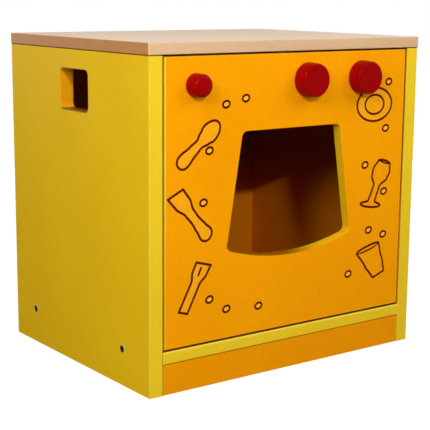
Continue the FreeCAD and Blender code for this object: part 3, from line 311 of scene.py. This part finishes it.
def lappedColour(tree, name, colour, low, high):
    # orange on the front of the door's bands, but for the free edge, where the yellow shows and turns to orange lower
    # down; painted shade along the door's outer edges, where the gaps round the door are
    x, y, z = coordinates(tree)
    front = span(tree, y, doorFace + bandFront["depth"] * 0.8, doorFace + bandFront["depth"], 1.0, 0.0)
    if name == "window_edge_band":
        lapped = mixColours(tree, front, colour, coatings["orangeBoard"]["colour"])
        # painted shade: the lining's bottom darkens towards its left end
        low = span(tree, z, sillShade["level"], sillShade["level"] + 0.004, 1.0, 0.0)
        share = calculate(tree, "MULTIPLY", low, span(tree, x, sillShade["to"], sillShade["from"], sillShade["share"], 0.0))
        return mixColours(tree, share, lapped, sillShade["colour"])
    # below a height, the free edge's front turns orange too
    orangeBelow = span(tree, z, *bandFront["orangeBelow"], bandFront["orangeBelowShare"], 0.0)
    inward = span(tree, x, bandFront["freeEdge"] - 0.0004, bandFront["freeEdge"])
    share = calculate(tree, "MULTIPLY", front, calculate(tree, "MAXIMUM", inward, orangeBelow))
    lapped = mixColours(tree, share, colour, coatings["orangeBoard"]["colour"])
    # painted shade in the gaps above, below and beside the door
    edge = gapShade["doorEdge"]
    above = span(tree, z, high.z - edge, high.z - edge * 0.6)
    below = span(tree, z, low.z + edge * 0.6, low.z + edge, 1.0, 0.0)
    beside = span(tree, x, high.x - edge, high.x - edge * 0.6)
    beside = calculate(tree, "MULTIPLY", beside, gapShade["hingeShare"])
    line = calculate(tree, "MAXIMUM", calculate(tree, "MAXIMUM", above, below), beside)
    foremost = span(tree, y, doorFace + gapShade["doorDepth"] * 0.8, doorFace + gapShade["doorDepth"], 0.9, 0.0)
    return mixColours(tree, calculate(tree, "MULTIPLY", line, foremost), lapped, gapShade["colour"])


def insideShade(tree, name, low, high):
    # a mask that is 1 on the face of this board that looks into the cabinet, and that face's colour: painted shade,
    # darker than the board outside and turning duller with the height
    faces = {"left_side_panel": ("X", high.x, -1, "sides"), "right_side_panel": ("X", low.x, 1, "sides"),
             "bottom_shelf": ("Z", high.z, -1, "shelf"), "door_board": ("Y", high.y, -1, "door"),
             "back_panel": ("Y", low.y, 1, "back"), "worktop": ("Z", low.z, 1, "shelf")}
    if name not in faces:
        return None, None
    axis, level, inward, tone = faces[name]
    depth = calculate(tree, "MULTIPLY", calculate(tree, "SUBTRACT", coordinates(tree)[axis], level), inward)
    paintedShade = span(tree, coordinates(tree)["Z"], *paintedInsideShade["paintedShade"])
    colour = mixColours(tree, paintedShade, *paintedInsideShade[tone])
    return span(tree, depth, paintedInsideShade["reach"] * 0.5, paintedInsideShade["reach"], 1.0, 0.0), colour


def gapShadeColour(tree, name, colour, low, high):
    # painted shade: the dark line along the joint under the worktop, and at the boards' edges beside the door and
    # plinth, and the plinth a little darker; on the shelf band, a painted highlight just below its dark top edge
    x, y, z = coordinates(tree)
    ragged = calculate(tree, "MULTIPLY", noise(tree, place(tree), 180, 2), gapShade["topJoint"] * 0.3)
    if name == "plinth_board":
        # painted shade under the shelf band, and a little over the whole plinth
        line = span(tree, calculate(tree, "ADD", z, ragged), high.z - gapShade["plinthTop"], high.z - gapShade["plinthTop"] * 0.5)
        paintedShade = mixColours(tree, 1.0, colour, gapShade["plinthShade"], "MULTIPLY")
        return mixColours(tree, line, paintedShade, gapShade["soft"])
    if name == "shelf_front_band":
        # painted highlight below the band's top edge, then painted shade at the edge itself
        pale = mixColours(tree, span(tree, z, high.z - shelfSheen["reach"], high.z - gapShade["shelfTop"], 0.0,
                                     shelfSheen["share"]), colour, shelfSheen["colour"])
        return mixColours(tree, span(tree, z, high.z - gapShade["shelfTop"], high.z - gapShade["shelfTop"] * 0.6, 0.0, 0.85),
                          pale, gapShade["colour"])
    # painted shade in the joint under the worktop
    line = span(tree, calculate(tree, "ADD", z, ragged), high.z - gapShade["topJoint"], high.z - gapShade["topJoint"] * 0.4)
    colour = mixColours(tree, calculate(tree, "MULTIPLY", line, gapShade["topJointShare"]), colour, gapShade["colour"])
    # painted shade in the gaps beside the door
    if name == "left_side_front_band":
        return mixColours(tree, span(tree, x, high.x - gapShade["bandEdge"], high.x - gapShade["bandEdge"] * 0.5, 0.0, 0.9),
                          colour, gapShade["colour"])
    if name == "right_side_front_band":
        return mixColours(tree, span(tree, x, low.x + gapShade["hingeEdge"] * 0.5, low.x + gapShade["hingeEdge"],
                                     gapShade["hingeShare"], 0.0), colour, gapShade["colour"])
    return colour


def glintedColour(tree, colour):
    # a painted highlight: a pale crescent above and in front of each screw head, as if its rim caught the light; the
    # nearer of the two rows of heads is found from the distance to the middle between them
    low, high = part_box("confirmat_screws")
    radius = (high.z - low.z) / 2
    middle, half = (low.y + high.y) / 2, (high.y - low.y) / 2 - radius
    x, y, z = coordinates(tree)
    along = calculate(tree, "SUBTRACT", y, middle)
    aside = calculate(tree, "MULTIPLY", calculate(tree, "SUBTRACT", calculate(tree, "ABSOLUTE", along), half),
                      calculate(tree, "SIGN", along))
    up = calculate(tree, "SUBTRACT", z, (low.z + high.z) / 2)
    away = calculate(tree, "SQRT", calculate(tree, "ADD", calculate(tree, "MULTIPLY", aside, aside),
                                             calculate(tree, "MULTIPLY", up, up)))
    turned = calculate(tree, "DIVIDE", calculate(tree, "SUBTRACT", up, aside), calculate(tree, "MAXIMUM", away, 0.0001))
    ring = calculate(tree, "MULTIPLY",
                     span(tree, away, screwGlint["inner"] - screwGlint["soft"], screwGlint["inner"]),
                     span(tree, away, screwGlint["outer"], screwGlint["outer"] + screwGlint["soft"], 1.0, 0.0))
    share = calculate(tree, "MULTIPLY", ring, span(tree, turned, 0.9, 1.3, 0.0, screwGlint["share"]))
    return mixColours(tree, share, colour, screwGlint["colour"])


def coatedMaterial(name, look, low, high):
    material, tree, shader = newMaterial(name)
    coat = useGroup(tree, pearlCoating, {"Colour": look["colour"], "Deeper": look["deeper"],
                                         "Pebble": look["pebble"], "Roughness": look["roughness"]})
    worn = useGroup(tree, arrisWear, {"Low": low, "High": high, "Reach": look["reach"]})["Mask"]
    share = calculate(tree, "MULTIPLY", worn, look["wear"])
    colour = mixColours(tree, share, coat["Colour"], look["worn"])
    node = name.split(".")[1]
    if node in ("door_edge_band", "window_edge_band"):
        colour = lappedColour(tree, node, colour, low, high)
    # painted shade on the faces that look into the cabinet
    inside, tone = insideShade(tree, node, low, high)
    if inside:
        colour = mixColours(tree, inside, colour, tone)
    # painted shade on the lower part of the handhold lining
    if node.endswith("handhold_band"):
        lower = span(tree, coordinates(tree)["Z"], *(low.z + reach for reach in handholdShade["reach"]), handholdShade["share"], 0.0)
        colour = mixColours(tree, lower, colour, handholdShade["colour"])
    # painted shade along the joints and gaps
    if node.startswith(("left_side", "right_side", "plinth", "shelf_front")):
        colour = gapShadeColour(tree, node, colour, low, high)
    # painted highlight beside the screw heads
    if node.endswith("side_panel"):
        colour = glintedColour(tree, colour)
    tree.links.new(colour, shader["Base Color"])
    tree.links.new(calculate(tree, "ADD", coat["Roughness"], calculate(tree, "MULTIPLY", share, 0.15)), shader["Roughness"])
    tree.links.new(bump(tree, coat["Height"], 0.5, look["relief"]), shader["Normal"])
    shader["Specular IOR Level"].default_value = look["specular"]
    return material


beechFinishes = {
    "beechBoard": {
        "pale": linear(236, 206, 174), "figure": linear(229, 196, 161), "fleck": linear(206, 168, 130),
        # the dark brown below is painted shade for the worktop's underside inside the cabinet
        "shadedBacking": linear(92, 60, 34), "roughness": 0.4, "specular": 0.15,
    },
    "beechBand": {
        "pale": linear(219, 181, 140), "figure": linear(209, 169, 127), "fleck": linear(190, 149, 107),
        "ends": linear(230, 190, 130), "roughness": 0.42, "specular": 0.08,
    },
    "dowelWood": {
        "pale": linear(214, 180, 134), "figure": linear(198, 160, 112), "fleck": linear(160, 116, 74),
        "roughness": 0.65, "specular": 0.3,
    },
}


endDepth = 0.0008      # how far in from the worktop's ends their own darker band reaches


def beechMaterial(name, look, low, high):
    material, tree, shader = newMaterial(name)
    grain = useGroup(tree, beechGrain, {"Pale": look["pale"], "Figure": look["figure"],
                                        "Fleck": look["fleck"], "Roughness": look["roughness"]})
    worn = useGroup(tree, arrisWear, {"Low": low, "High": high, "Reach": 0.0012})["Mask"]
    colour = mixColours(tree, calculate(tree, "MULTIPLY", worn, 0.35), grain["Colour"], look["figure"])
    # painted shade: the worktop's underside inside the cabinet turns dark brown
    inside, tone = insideShade(tree, name.split(".")[1], low, high)
    if inside:
        colour = mixColours(tree, inside, colour, look["shadedBacking"])
    if "ends" in look:
        outward = put(tree, "SeparateXYZ", {0: place(tree)}).outputs["X"]
        end = span(tree, calculate(tree, "ABSOLUTE", outward), high.x - endDepth, high.x - endDepth * 0.5)
        colour = mixColours(tree, end, colour, mixColours(tree, 1.0, colour, look["ends"], "MULTIPLY"))
    tree.links.new(colour, shader["Base Color"])
    tree.links.new(grain["Roughness"], shader["Roughness"])
    tree.links.new(bump(tree, grain["Height"], 0.3, 0.00002), shader["Normal"])
    shader["Specular IOR Level"].default_value = look["specular"]
    return material


# Knobs, fittings and the rest

machinedFinishes = {
    "redKnob": {"colour": linear(152, 1, 3), "stain": linear(147, 1, 2), "lines": 700, "roughness": 0.24,
                "specular": 0.035, "metallic": 0.0, "relief": 0.00001},
    "zincSteel": {"colour": linear(206, 206, 200), "stain": linear(178, 176, 166), "lines": 2200, "roughness": 0.28,
                  "specular": 0.5, "metallic": 1.0, "relief": 0.00001},
    # painted shade: a dark copy of the zinc finish for the strike plate, which sits in the gap above the door
    "dullZinc": {"colour": linear(96, 92, 84), "stain": linear(70, 64, 56), "lines": 2200, "roughness": 0.5,
                 "specular": 0.5, "metallic": 1.0, "relief": 0.00001},
    "blackSteel": {"colour": linear(34, 22, 14), "stain": linear(24, 14, 9), "lines": 2200, "roughness": 0.6,
                   "specular": 0.1, "metallic": 0.0, "relief": 0.00001},
    "brassInsert": {"colour": linear(214, 178, 98), "stain": linear(188, 148, 74), "lines": 2200, "roughness": 0.3,
                    "specular": 0.5, "metallic": 1.0, "relief": 0.00001},
    "whiteNylon": {"colour": linear(232, 231, 224), "stain": linear(222, 219, 208), "lines": 500, "roughness": 0.42,
                   "specular": 0.4, "metallic": 0.0, "relief": 0.00001},
    "blackNylon": {"colour": linear(38, 36, 34), "stain": linear(30, 28, 27), "lines": 500, "roughness": 0.5,
                   "specular": 0.2, "metallic": 0.0, "relief": 0.00001},
    "magnetFerrite": {"colour": linear(56, 55, 58), "stain": linear(42, 41, 44), "lines": 1500, "roughness": 0.6,
                      "specular": 0.4, "metallic": 0.0, "relief": 0.00003},
    "greyFelt": {"colour": linear(104, 103, 100), "stain": linear(82, 81, 79), "lines": 1800, "roughness": 0.95,
                 "specular": 0.1, "metallic": 0.0, "relief": 0.00025},
}


def machinedMaterial(name, look, low, high):
    material, tree, shader = newMaterial(name)
    finish = useGroup(tree, machined, {"Colour": look["colour"], "Stain": look["stain"],
                                       "Lines": look["lines"], "Roughness": look["roughness"]})
    tree.links.new(finish["Colour"], shader["Base Color"])
    tree.links.new(finish["Roughness"], shader["Roughness"])
    tree.links.new(bump(tree, finish["Height"], 0.4, look["relief"]), shader["Normal"])
    shader["Specular IOR Level"].default_value = look["specular"]
    shader["Metallic"].default_value = look["metallic"]
    return material


# Which finish each CAD node wears

finishOfNodes = {
    "yellowBoard": ["left_side_panel", "right_side_panel", "bottom_shelf"],
    "yellowBand": ["left_side_front_band", "right_side_front_band", "shelf_front_band", "door_edge_band"],
    "windowBand": ["window_edge_band"],
    "orangeBoard": ["door_board", "plinth_board"],
    "orangeBand": ["left_handhold_band", "right_handhold_band"],
    "orangeHardboard": ["back_panel"],
    "beechBoard": ["worktop"],
    "beechBand": ["worktop_edge_band"],
    "dowelWood": ["shelf_dowels", "plinth_dowels", "worktop_dowels"],
    "redKnob": ["dial_knob_left", "dial_knob_right", "pull_knob"],
    "blackSteel": ["confirmat_screws", "lower_pivot_plate", "upper_pivot_plate", "pivot_plate_screws"],
    "dullZinc": ["strike_plate"],
    "brassInsert": ["dial_insert_left", "dial_insert_right", "pull_knob_insert"],
    "whiteNylon": ["dial_bushes", "magnetic_catch_housing"],
    "blackNylon": ["lower_pivot_bush", "upper_pivot_bush"],
    "magnetFerrite": ["catch_magnet"],
    "greyFelt": ["dial_felt_disc_left", "dial_felt_disc_right"],
}
makers = [(coatings, coatedMaterial), (beechFinishes, beechMaterial), (machinedFinishes, machinedMaterial)]
nodeFinish = {node: finish for finish, members in finishOfNodes.items() for node in members}


def dressNode(name):
    finish = nodeFinish.get(name, "zincSteel")
    looks, maker = next((looks, maker) for looks, maker in makers if finish in looks)
    low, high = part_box(name)
    material = maker(finish + "." + name, looks[finish], low, high)
    mesh = nodes[name].data
    mesh.materials.clear()
    mesh.materials.append(material)


for nodeName in sorted(nodes):
    dressNode(nodeName)
print("CAD nodes dressed")


# Drawn tableware on the door, as thin films of ink: a dark line round each figure and a paler fill in it.
# Places are X and Z on the door's face in millimetres, and turns are degrees from +X towards +Z.

film = {"line": 3.6, "lineHeight": 0.16, "fillHeight": 0.06, "shoulder": 0.2}


def easedWidths(stations, along):
    # half widths that ease from each station's to the next along a cubic with level ends
    reach, half = np.array(stations).T
    index = np.clip(np.searchsorted(reach, along, side="right") - 1, 0, len(reach) - 2)
    share = (along - reach[index]) / (reach[index + 1] - reach[index])
    return half[index] + (half[index + 1] - half[index]) * share * share * (3 - 2 * share)


def silhouette(shape, samples=72):
    # the two sides of a figure: its half widths along its axis, less what a quarter ellipse takes off at a
    # rounded end, with each cross line leaning by a share that runs evenly from one end's to the other's
    length = shape["stations"][-1][0]
    along = length * (1 - np.cos(np.linspace(0, np.pi, samples))) / 2
    half = easedWidths(shape["stations"], along)
    for distance, rounding in ((along, shape.get("startRound")), (length - along, shape.get("endRound"))):
        if rounding:
            reach, depth = rounding
            half = half - depth * (1 - np.sqrt(1 - np.clip(1 - distance / reach, 0, 1) ** 2))
    leans = shape.get("lean", (0, 0))
    shift = half * (leans[0] + (leans[1] - leans[0]) * along / length)
    along = along - length / 2
    return np.stack([along + shift, half], 1), np.stack([along - shift, -half], 1)


def ellipseSides(radii, samples=48):
    angle = np.linspace(0, np.pi, samples)
    across, up = radii[0] * -np.cos(angle), radii[1] * np.sin(angle)
    return np.stack([across, up], 1), np.stack([across, -up], 1)


def arcSides(radii, width, samples=32):
    # the lower half of an ellipse as a band, its two sides half a width outside and inside
    angle = np.linspace(-np.pi, 0, samples)
    ring = np.stack([np.cos(angle), np.sin(angle)], 1)
    return ring * (np.array(radii) + width / 2), ring * (np.array(radii) - width / 2)


def onDoor(points, shape):
    # turned and moved from the figure's own axes to X and Z on the door
    angle = math.radians(shape.get("turn", 0))
    turned = points @ np.array([[math.cos(angle), math.sin(angle)], [-math.sin(angle), math.cos(angle)]])
    return turned + np.array(shape["centre"])


def meshPiece(name, points, faces, material):
    mesh = bpy.data.meshes.new(name)
    mesh.from_pydata(points.tolist(), [], faces.tolist())
    mesh.materials.append(material)
    mesh.update()
    piece = bpy.data.objects.new(name, mesh)
    scene.collection.objects.link(piece)
    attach(piece, "door")
    return piece


def lineLoop(path, width):
    # a closed film along a closed path: its section's four corners are set off from each point along the
    # mitre of the two runs that meet there
    before, after = path - np.roll(path, 1, 0), np.roll(path, -1, 0) - path
    before /= np.linalg.norm(before, axis=1, keepdims=True)
    after /= np.linalg.norm(after, axis=1, keepdims=True)
    mitre = (before + after)[:, ::-1] * np.array([-1, 1])
    mitre /= np.linalg.norm(mitre, axis=1, keepdims=True)
    lean = np.clip(np.sum(mitre * before[:, ::-1] * np.array([-1, 1]), axis=1, keepdims=True), 0.5, 1)
    section = np.array([(-0.5, 0), (-0.5 + film["shoulder"] / 2, 1), (0.5 - film["shoulder"] / 2, 1), (0.5, 0)])
    flat = path[:, None] + mitre[:, None] / lean[:, None] * section[None, :, :1] * width
    height = np.broadcast_to(section[None, :, 1], flat.shape[:2]) * film["lineHeight"]
    points = np.concatenate([flat[..., :1], height[..., None], flat[..., 1:]], -1)
    count, corners = points.shape[:2]
    index = np.arange(count * corners).reshape(count, corners)
    nextRow, nextCorner = np.roll(index, -1, 0), np.roll(index, -1, 1)
    faces = np.stack([index, nextRow, np.roll(nextRow, -1, 1), nextCorner], -1).reshape(-1, 4)
    return points.reshape(-1, 3), faces


def fillSheet(first, second, height):
    # a closed film between two sides, with the same number of points on each
    flat = np.stack([first, second], 1)
    lower = np.insert(flat, 1, 0.0, axis=2)
    upper = np.insert(flat, 1, height, axis=2)
    points = np.concatenate([upper, lower[:, ::-1]], 1)
    count = len(points)
    index = np.arange(count * 4).reshape(count, 4)
    runs = np.stack([index[:-1], index[1:], np.roll(index[1:], -1, 1), np.roll(index[:-1], -1, 1)], -1)
    ends = np.stack([index[0][::-1], index[-1]])
    return points.reshape(-1, 3), np.concatenate([runs.reshape(-1, 4), ends])


def toFrame(points):
    # millimetres on the door, with the height above its face, to the frame
    return np.stack([points[:, 0] * millimetre, doorFace - points[:, 1] * millimetre,
                     points[:, 2] * millimetre], 1)


drawingFinishes = {
    "drawnLine": {"first": linear(82, 12, 4), "second": linear(104, 20, 6), "grain": 260, "specular": 0.02},
    "drawnFill": {"first": linear(253, 172, 22), "second": linear(250, 165, 14), "grain": 60, "specular": 0.03},
    "glassFill": {"first": linear(252, 163, 6), "second": linear(246, 156, 6), "grain": 60, "specular": 0.03},
    "bubbleFill": {"first": linear(255, 192, 62), "second": linear(253, 182, 46), "grain": 120, "specular": 0.03},
}


def drawingMaterial(name, look):
    material, tree, shader = newMaterial(name)
    tone = noise(tree, place(tree), look["grain"], 3, 0.6)
    tree.links.new(mixColours(tree, span(tree, tone, 0.35, 0.7), look["first"], look["second"]), shader["Base Color"])
    tree.links.new(span(tree, tone, 0.3, 0.7, 0.45, 0.58), shader["Roughness"])
    shader["Specular IOR Level"].default_value = look["specular"]
    return material


fillMaterials = {name: drawingMaterial(name, look) for name, look in drawingFinishes.items()}
inkMaterial = fillMaterials["drawnLine"]

# Half widths are given at distances along each figure's axis.
figures = {
    "spoon": {"centre": (-166.4, 345.4), "turn": 40, "startRound": (10, 9.8), "endRound": (22, 13.4),
              "stations": [(0, 9.8), (14, 9.9), (30, 7.6), (45, 6.4), (57, 10.4), (66, 13.4), (88, 13.4)]},
    "spatula": {"centre": (-176, 247), "turn": -49.6, "endRound": (10, 10.8), "lean": (0.26, 0),
                "stations": [(0, 13.2), (18, 12.6), (36, 7.4), (50, 6.8), (66, 8.6), (78, 10.8), (88, 10.8)]},
    "fork": {"centre": (-174.4, 146), "turn": 62.3, "lean": (-0.2, -0.22),
             "stations": [(0, 7.2), (44, 7), (60, 11.8), (74, 12.3)]},
    "goblet": {"centre": (171, 261.5), "turn": 66.9, "startRound": (4.5, 20.6), "endRound": (3, 11.4),
               "lean": (-0.26, -0.12), "fill": "glassFill",
               "stations": [(0, 20.6), (4.5, 20), (10, 6.4), (35, 6), (49, 15.8), (59, 17.4), (76, 12)]},
    "tumbler": {"centre": (167.1, 141.2), "turn": 119, "startRound": (3, 2.6), "endRound": (3.6, 22),
                "lean": (0.15, 0.25), "fill": "glassFill", "stations": [(0, 12.8), (26, 18), (54, 23)]},
}
plate = {"centre": (160, 384), "outer": (35.5, 25.2), "inner": (19.3, 14.5)}
rims = {
    "goblet_rim": {"centre": (185.6, 295.4), "turn": -18.7, "radii": (12.2, 2.4)},
    "tumbler_rim": {"centre": (155.4, 162), "turn": 14.9, "radii": (23, 3.4)},
}
forkSlot = {"centre": (-163.7, 168.6), "turn": 65, "startRound": (1.4, 1.4), "endRound": (1.4, 1.4),
            "stations": [(0, 1.5), (14, 1.5)]}
bubbles = [(-120.3, 398.3), (-86.3, 405), (-148.4, 336.1), (-157.9, 264.8), (-146.7, 126), (-116.7, 107.7),
           (-58.7, 103.3), (188.3, 417.3), (184.7, 346.7), (144.3, 292.6), (185.4, 248.6), (155.9, 190.4),
           (187, 180.6), (116, 126.3)]
bubbleShape = {"radii": (5.9, 4.5), "turn": 14, "line": 3.4}


def loopOf(first, second):
    # out along one side and back along the other, with the points that both share taken once
    loop = np.concatenate([first, second[::-1]])
    keep = np.linalg.norm(loop - np.roll(loop, 1, 0), axis=1) > 0.01
    return loop[keep]


def drawLine(name, sides, width):
    points, faces = lineLoop(loopOf(*sides), width)
    meshPiece(name + "_outline", toFrame(points), faces, inkMaterial)


def drawSheet(name, sides, height, material):
    points, faces = fillSheet(*sides, height)
    meshPiece(name, toFrame(points), faces, material)


def drawFigure(name, sides, fill, width=film["line"]):
    drawSheet(name + "_fill", sides, film["fillHeight"], fillMaterials[fill])
    drawLine(name, sides, width)


for name, shape in figures.items():
    drawFigure(name, [onDoor(side, shape) for side in silhouette(shape)], shape.get("fill", "drawnFill"))
drawFigure("plate", [onDoor(side, plate) for side in ellipseSides(plate["outer"])], "drawnFill")
drawLine("plate_well", [onDoor(side, plate) for side in ellipseSides(plate["inner"])], film["line"])
for name, shape in rims.items():
    arc = [onDoor(side, shape) for side in arcSides(shape["radii"], film["line"] * 0.75)]
    drawSheet(name, arc, film["lineHeight"], inkMaterial)
drawSheet("fork_slot", [onDoor(side, forkSlot) for side in silhouette(forkSlot, 24)], film["lineHeight"], inkMaterial)
for number, centre in enumerate(bubbles, 1):
    bubble = dict(bubbleShape, centre=centre)
    sides = [onDoor(side, bubble) for side in ellipseSides(bubble["radii"], 20)]
    drawFigure("bubble_%d" % number, sides, "bubbleFill", bubble["line"])
print("door drawings made:", len(figures) + 1, "figures and", len(bubbles), "bubbles")


# Floor, lights and background

studio = {
    "floor": {"bounce": linear(150, 150, 148), "shown": linear(120, 120, 120), "glow": (0.90, 1.0),
              "fade": (0.7, 2.6), "half": 8.0},
    "world": 0.02,
    "aim": 0.36,
    "lights": [
        {"name": "keyLight", "turn": 23.5, "lift": 22.4, "away": 2.0, "size": (0.16, 0.05), "factor": 0.355},
        {"name": "sideLight", "turn": 58, "lift": 20, "away": 2.0, "size": (0.35, 0.30), "factor": 0.185},
        {"name": "leftLight", "turn": 65, "lift": 35, "away": 1.6, "size": (1.0, 1.0), "factor": 0.44},
        {"name": "rightLight", "turn": -45, "lift": 35, "away": 1.6, "size": (1.0, 1.0), "factor": 0.41},
        {"name": "frontLight", "turn": 5, "lift": 50, "away": 1.6, "size": (1.0, 1.0), "factor": 0.135},
        {"name": "backLight", "turn": 172, "lift": 6, "away": 2.4, "size": (1.2, 1.0), "factor": 0.50},
        {"name": "farLight", "turn": -115, "lift": 6, "away": 2.4, "size": (1.2, 1.0), "factor": 0.50},
    ],
}


def makeLight(look):
    # turn is from -Y towards -X and lift above the horizon, both seen from the top of the window; factor
    # is the share of its own colour that a face turned to the lamp shows there
    turn, lift = math.radians(look["turn"]), math.radians(look["lift"])
    aim = Vector((0, doorFace, studio["aim"]))
    back = Vector((-math.sin(turn) * math.cos(lift), -math.cos(turn) * math.cos(lift), math.sin(lift)))
    lamp = bpy.data.lights.new(look["name"], "AREA")
    lamp.shape = "ELLIPSE"
    lamp.size, lamp.size_y = look["size"]
    lamp.energy = look["factor"] * math.pi ** 2 * look["away"] ** 2
    light = bpy.data.objects.new(look["name"], lamp)
    scene.collection.objects.link(light)
    light.matrix_world = Matrix.Translation(aim + back * look["away"]) @ back.to_track_quat("Z", "Y").to_matrix().to_4x4()


def makeFloor(look):
    half = look["half"]
    corners = np.array([(-half, -half, 0), (half, -half, 0), (half, half, 0), (-half, half, 0)])
    mesh = bpy.data.meshes.new("floor")
    mesh.from_pydata(corners.tolist(), [], [(0, 1, 2, 3)])
    floor = bpy.data.objects.new("floor", mesh)
    scene.collection.objects.link(floor)
    material = bpy.data.materials.new("paleFloor")
    material.use_nodes = True
    tree = material.node_tree
    tree.nodes.clear()
    ray = put(tree, "LightPath").outputs
    diffuse = put(tree, "BsdfDiffuse", {"Color": look["bounce"]}).outputs[0]
    seen = put(tree, "BsdfDiffuse", {"Color": look["shown"]}).outputs[0]
    away = put(tree, "VectorMath", {0: place(tree)}, operation="LENGTH").outputs["Value"]
    glow = put(tree, "Emission", {"Strength": span(tree, away, *look["fade"], *look["glow"])}).outputs[0]
    shown = put(tree, "AddShader", {0: seen, 1: glow}).outputs[0]
    direct = calculate(tree, "MAXIMUM", ray["Is Camera Ray"], calculate(tree, "MAXIMUM", ray["Is Glossy Ray"], ray["Is Transmission Ray"]))
    mix = put(tree, "MixShader", {0: direct, 1: diffuse, 2: shown}).outputs[0]
    tree.links.new(mix, tree.nodes.new("ShaderNodeOutputMaterial").inputs[0])
    mesh.materials.append(material)


def makeWorld(strength):
    world = bpy.data.worlds.new("studio")
    scene.world = world
    world.use_nodes = True
    tree = world.node_tree
    tree.nodes.clear()
    ray = put(tree, "LightPath").outputs
    direct = calculate(tree, "MAXIMUM", ray["Is Camera Ray"], calculate(tree, "MAXIMUM", ray["Is Glossy Ray"], ray["Is Transmission Ray"]))
    level = span(tree, direct, 0.0, 1.0, strength, 1.0, smooth=False)
    background = put(tree, "Background", {"Color": (1, 1, 1, 1), "Strength": level}).outputs[0]
    tree.links.new(background, tree.nodes.new("ShaderNodeOutputWorld").inputs[0])


for lightLook in studio["lights"]:
    makeLight(lightLook)
makeFloor(studio["floor"])
makeWorld(studio["world"])
print("studio made")
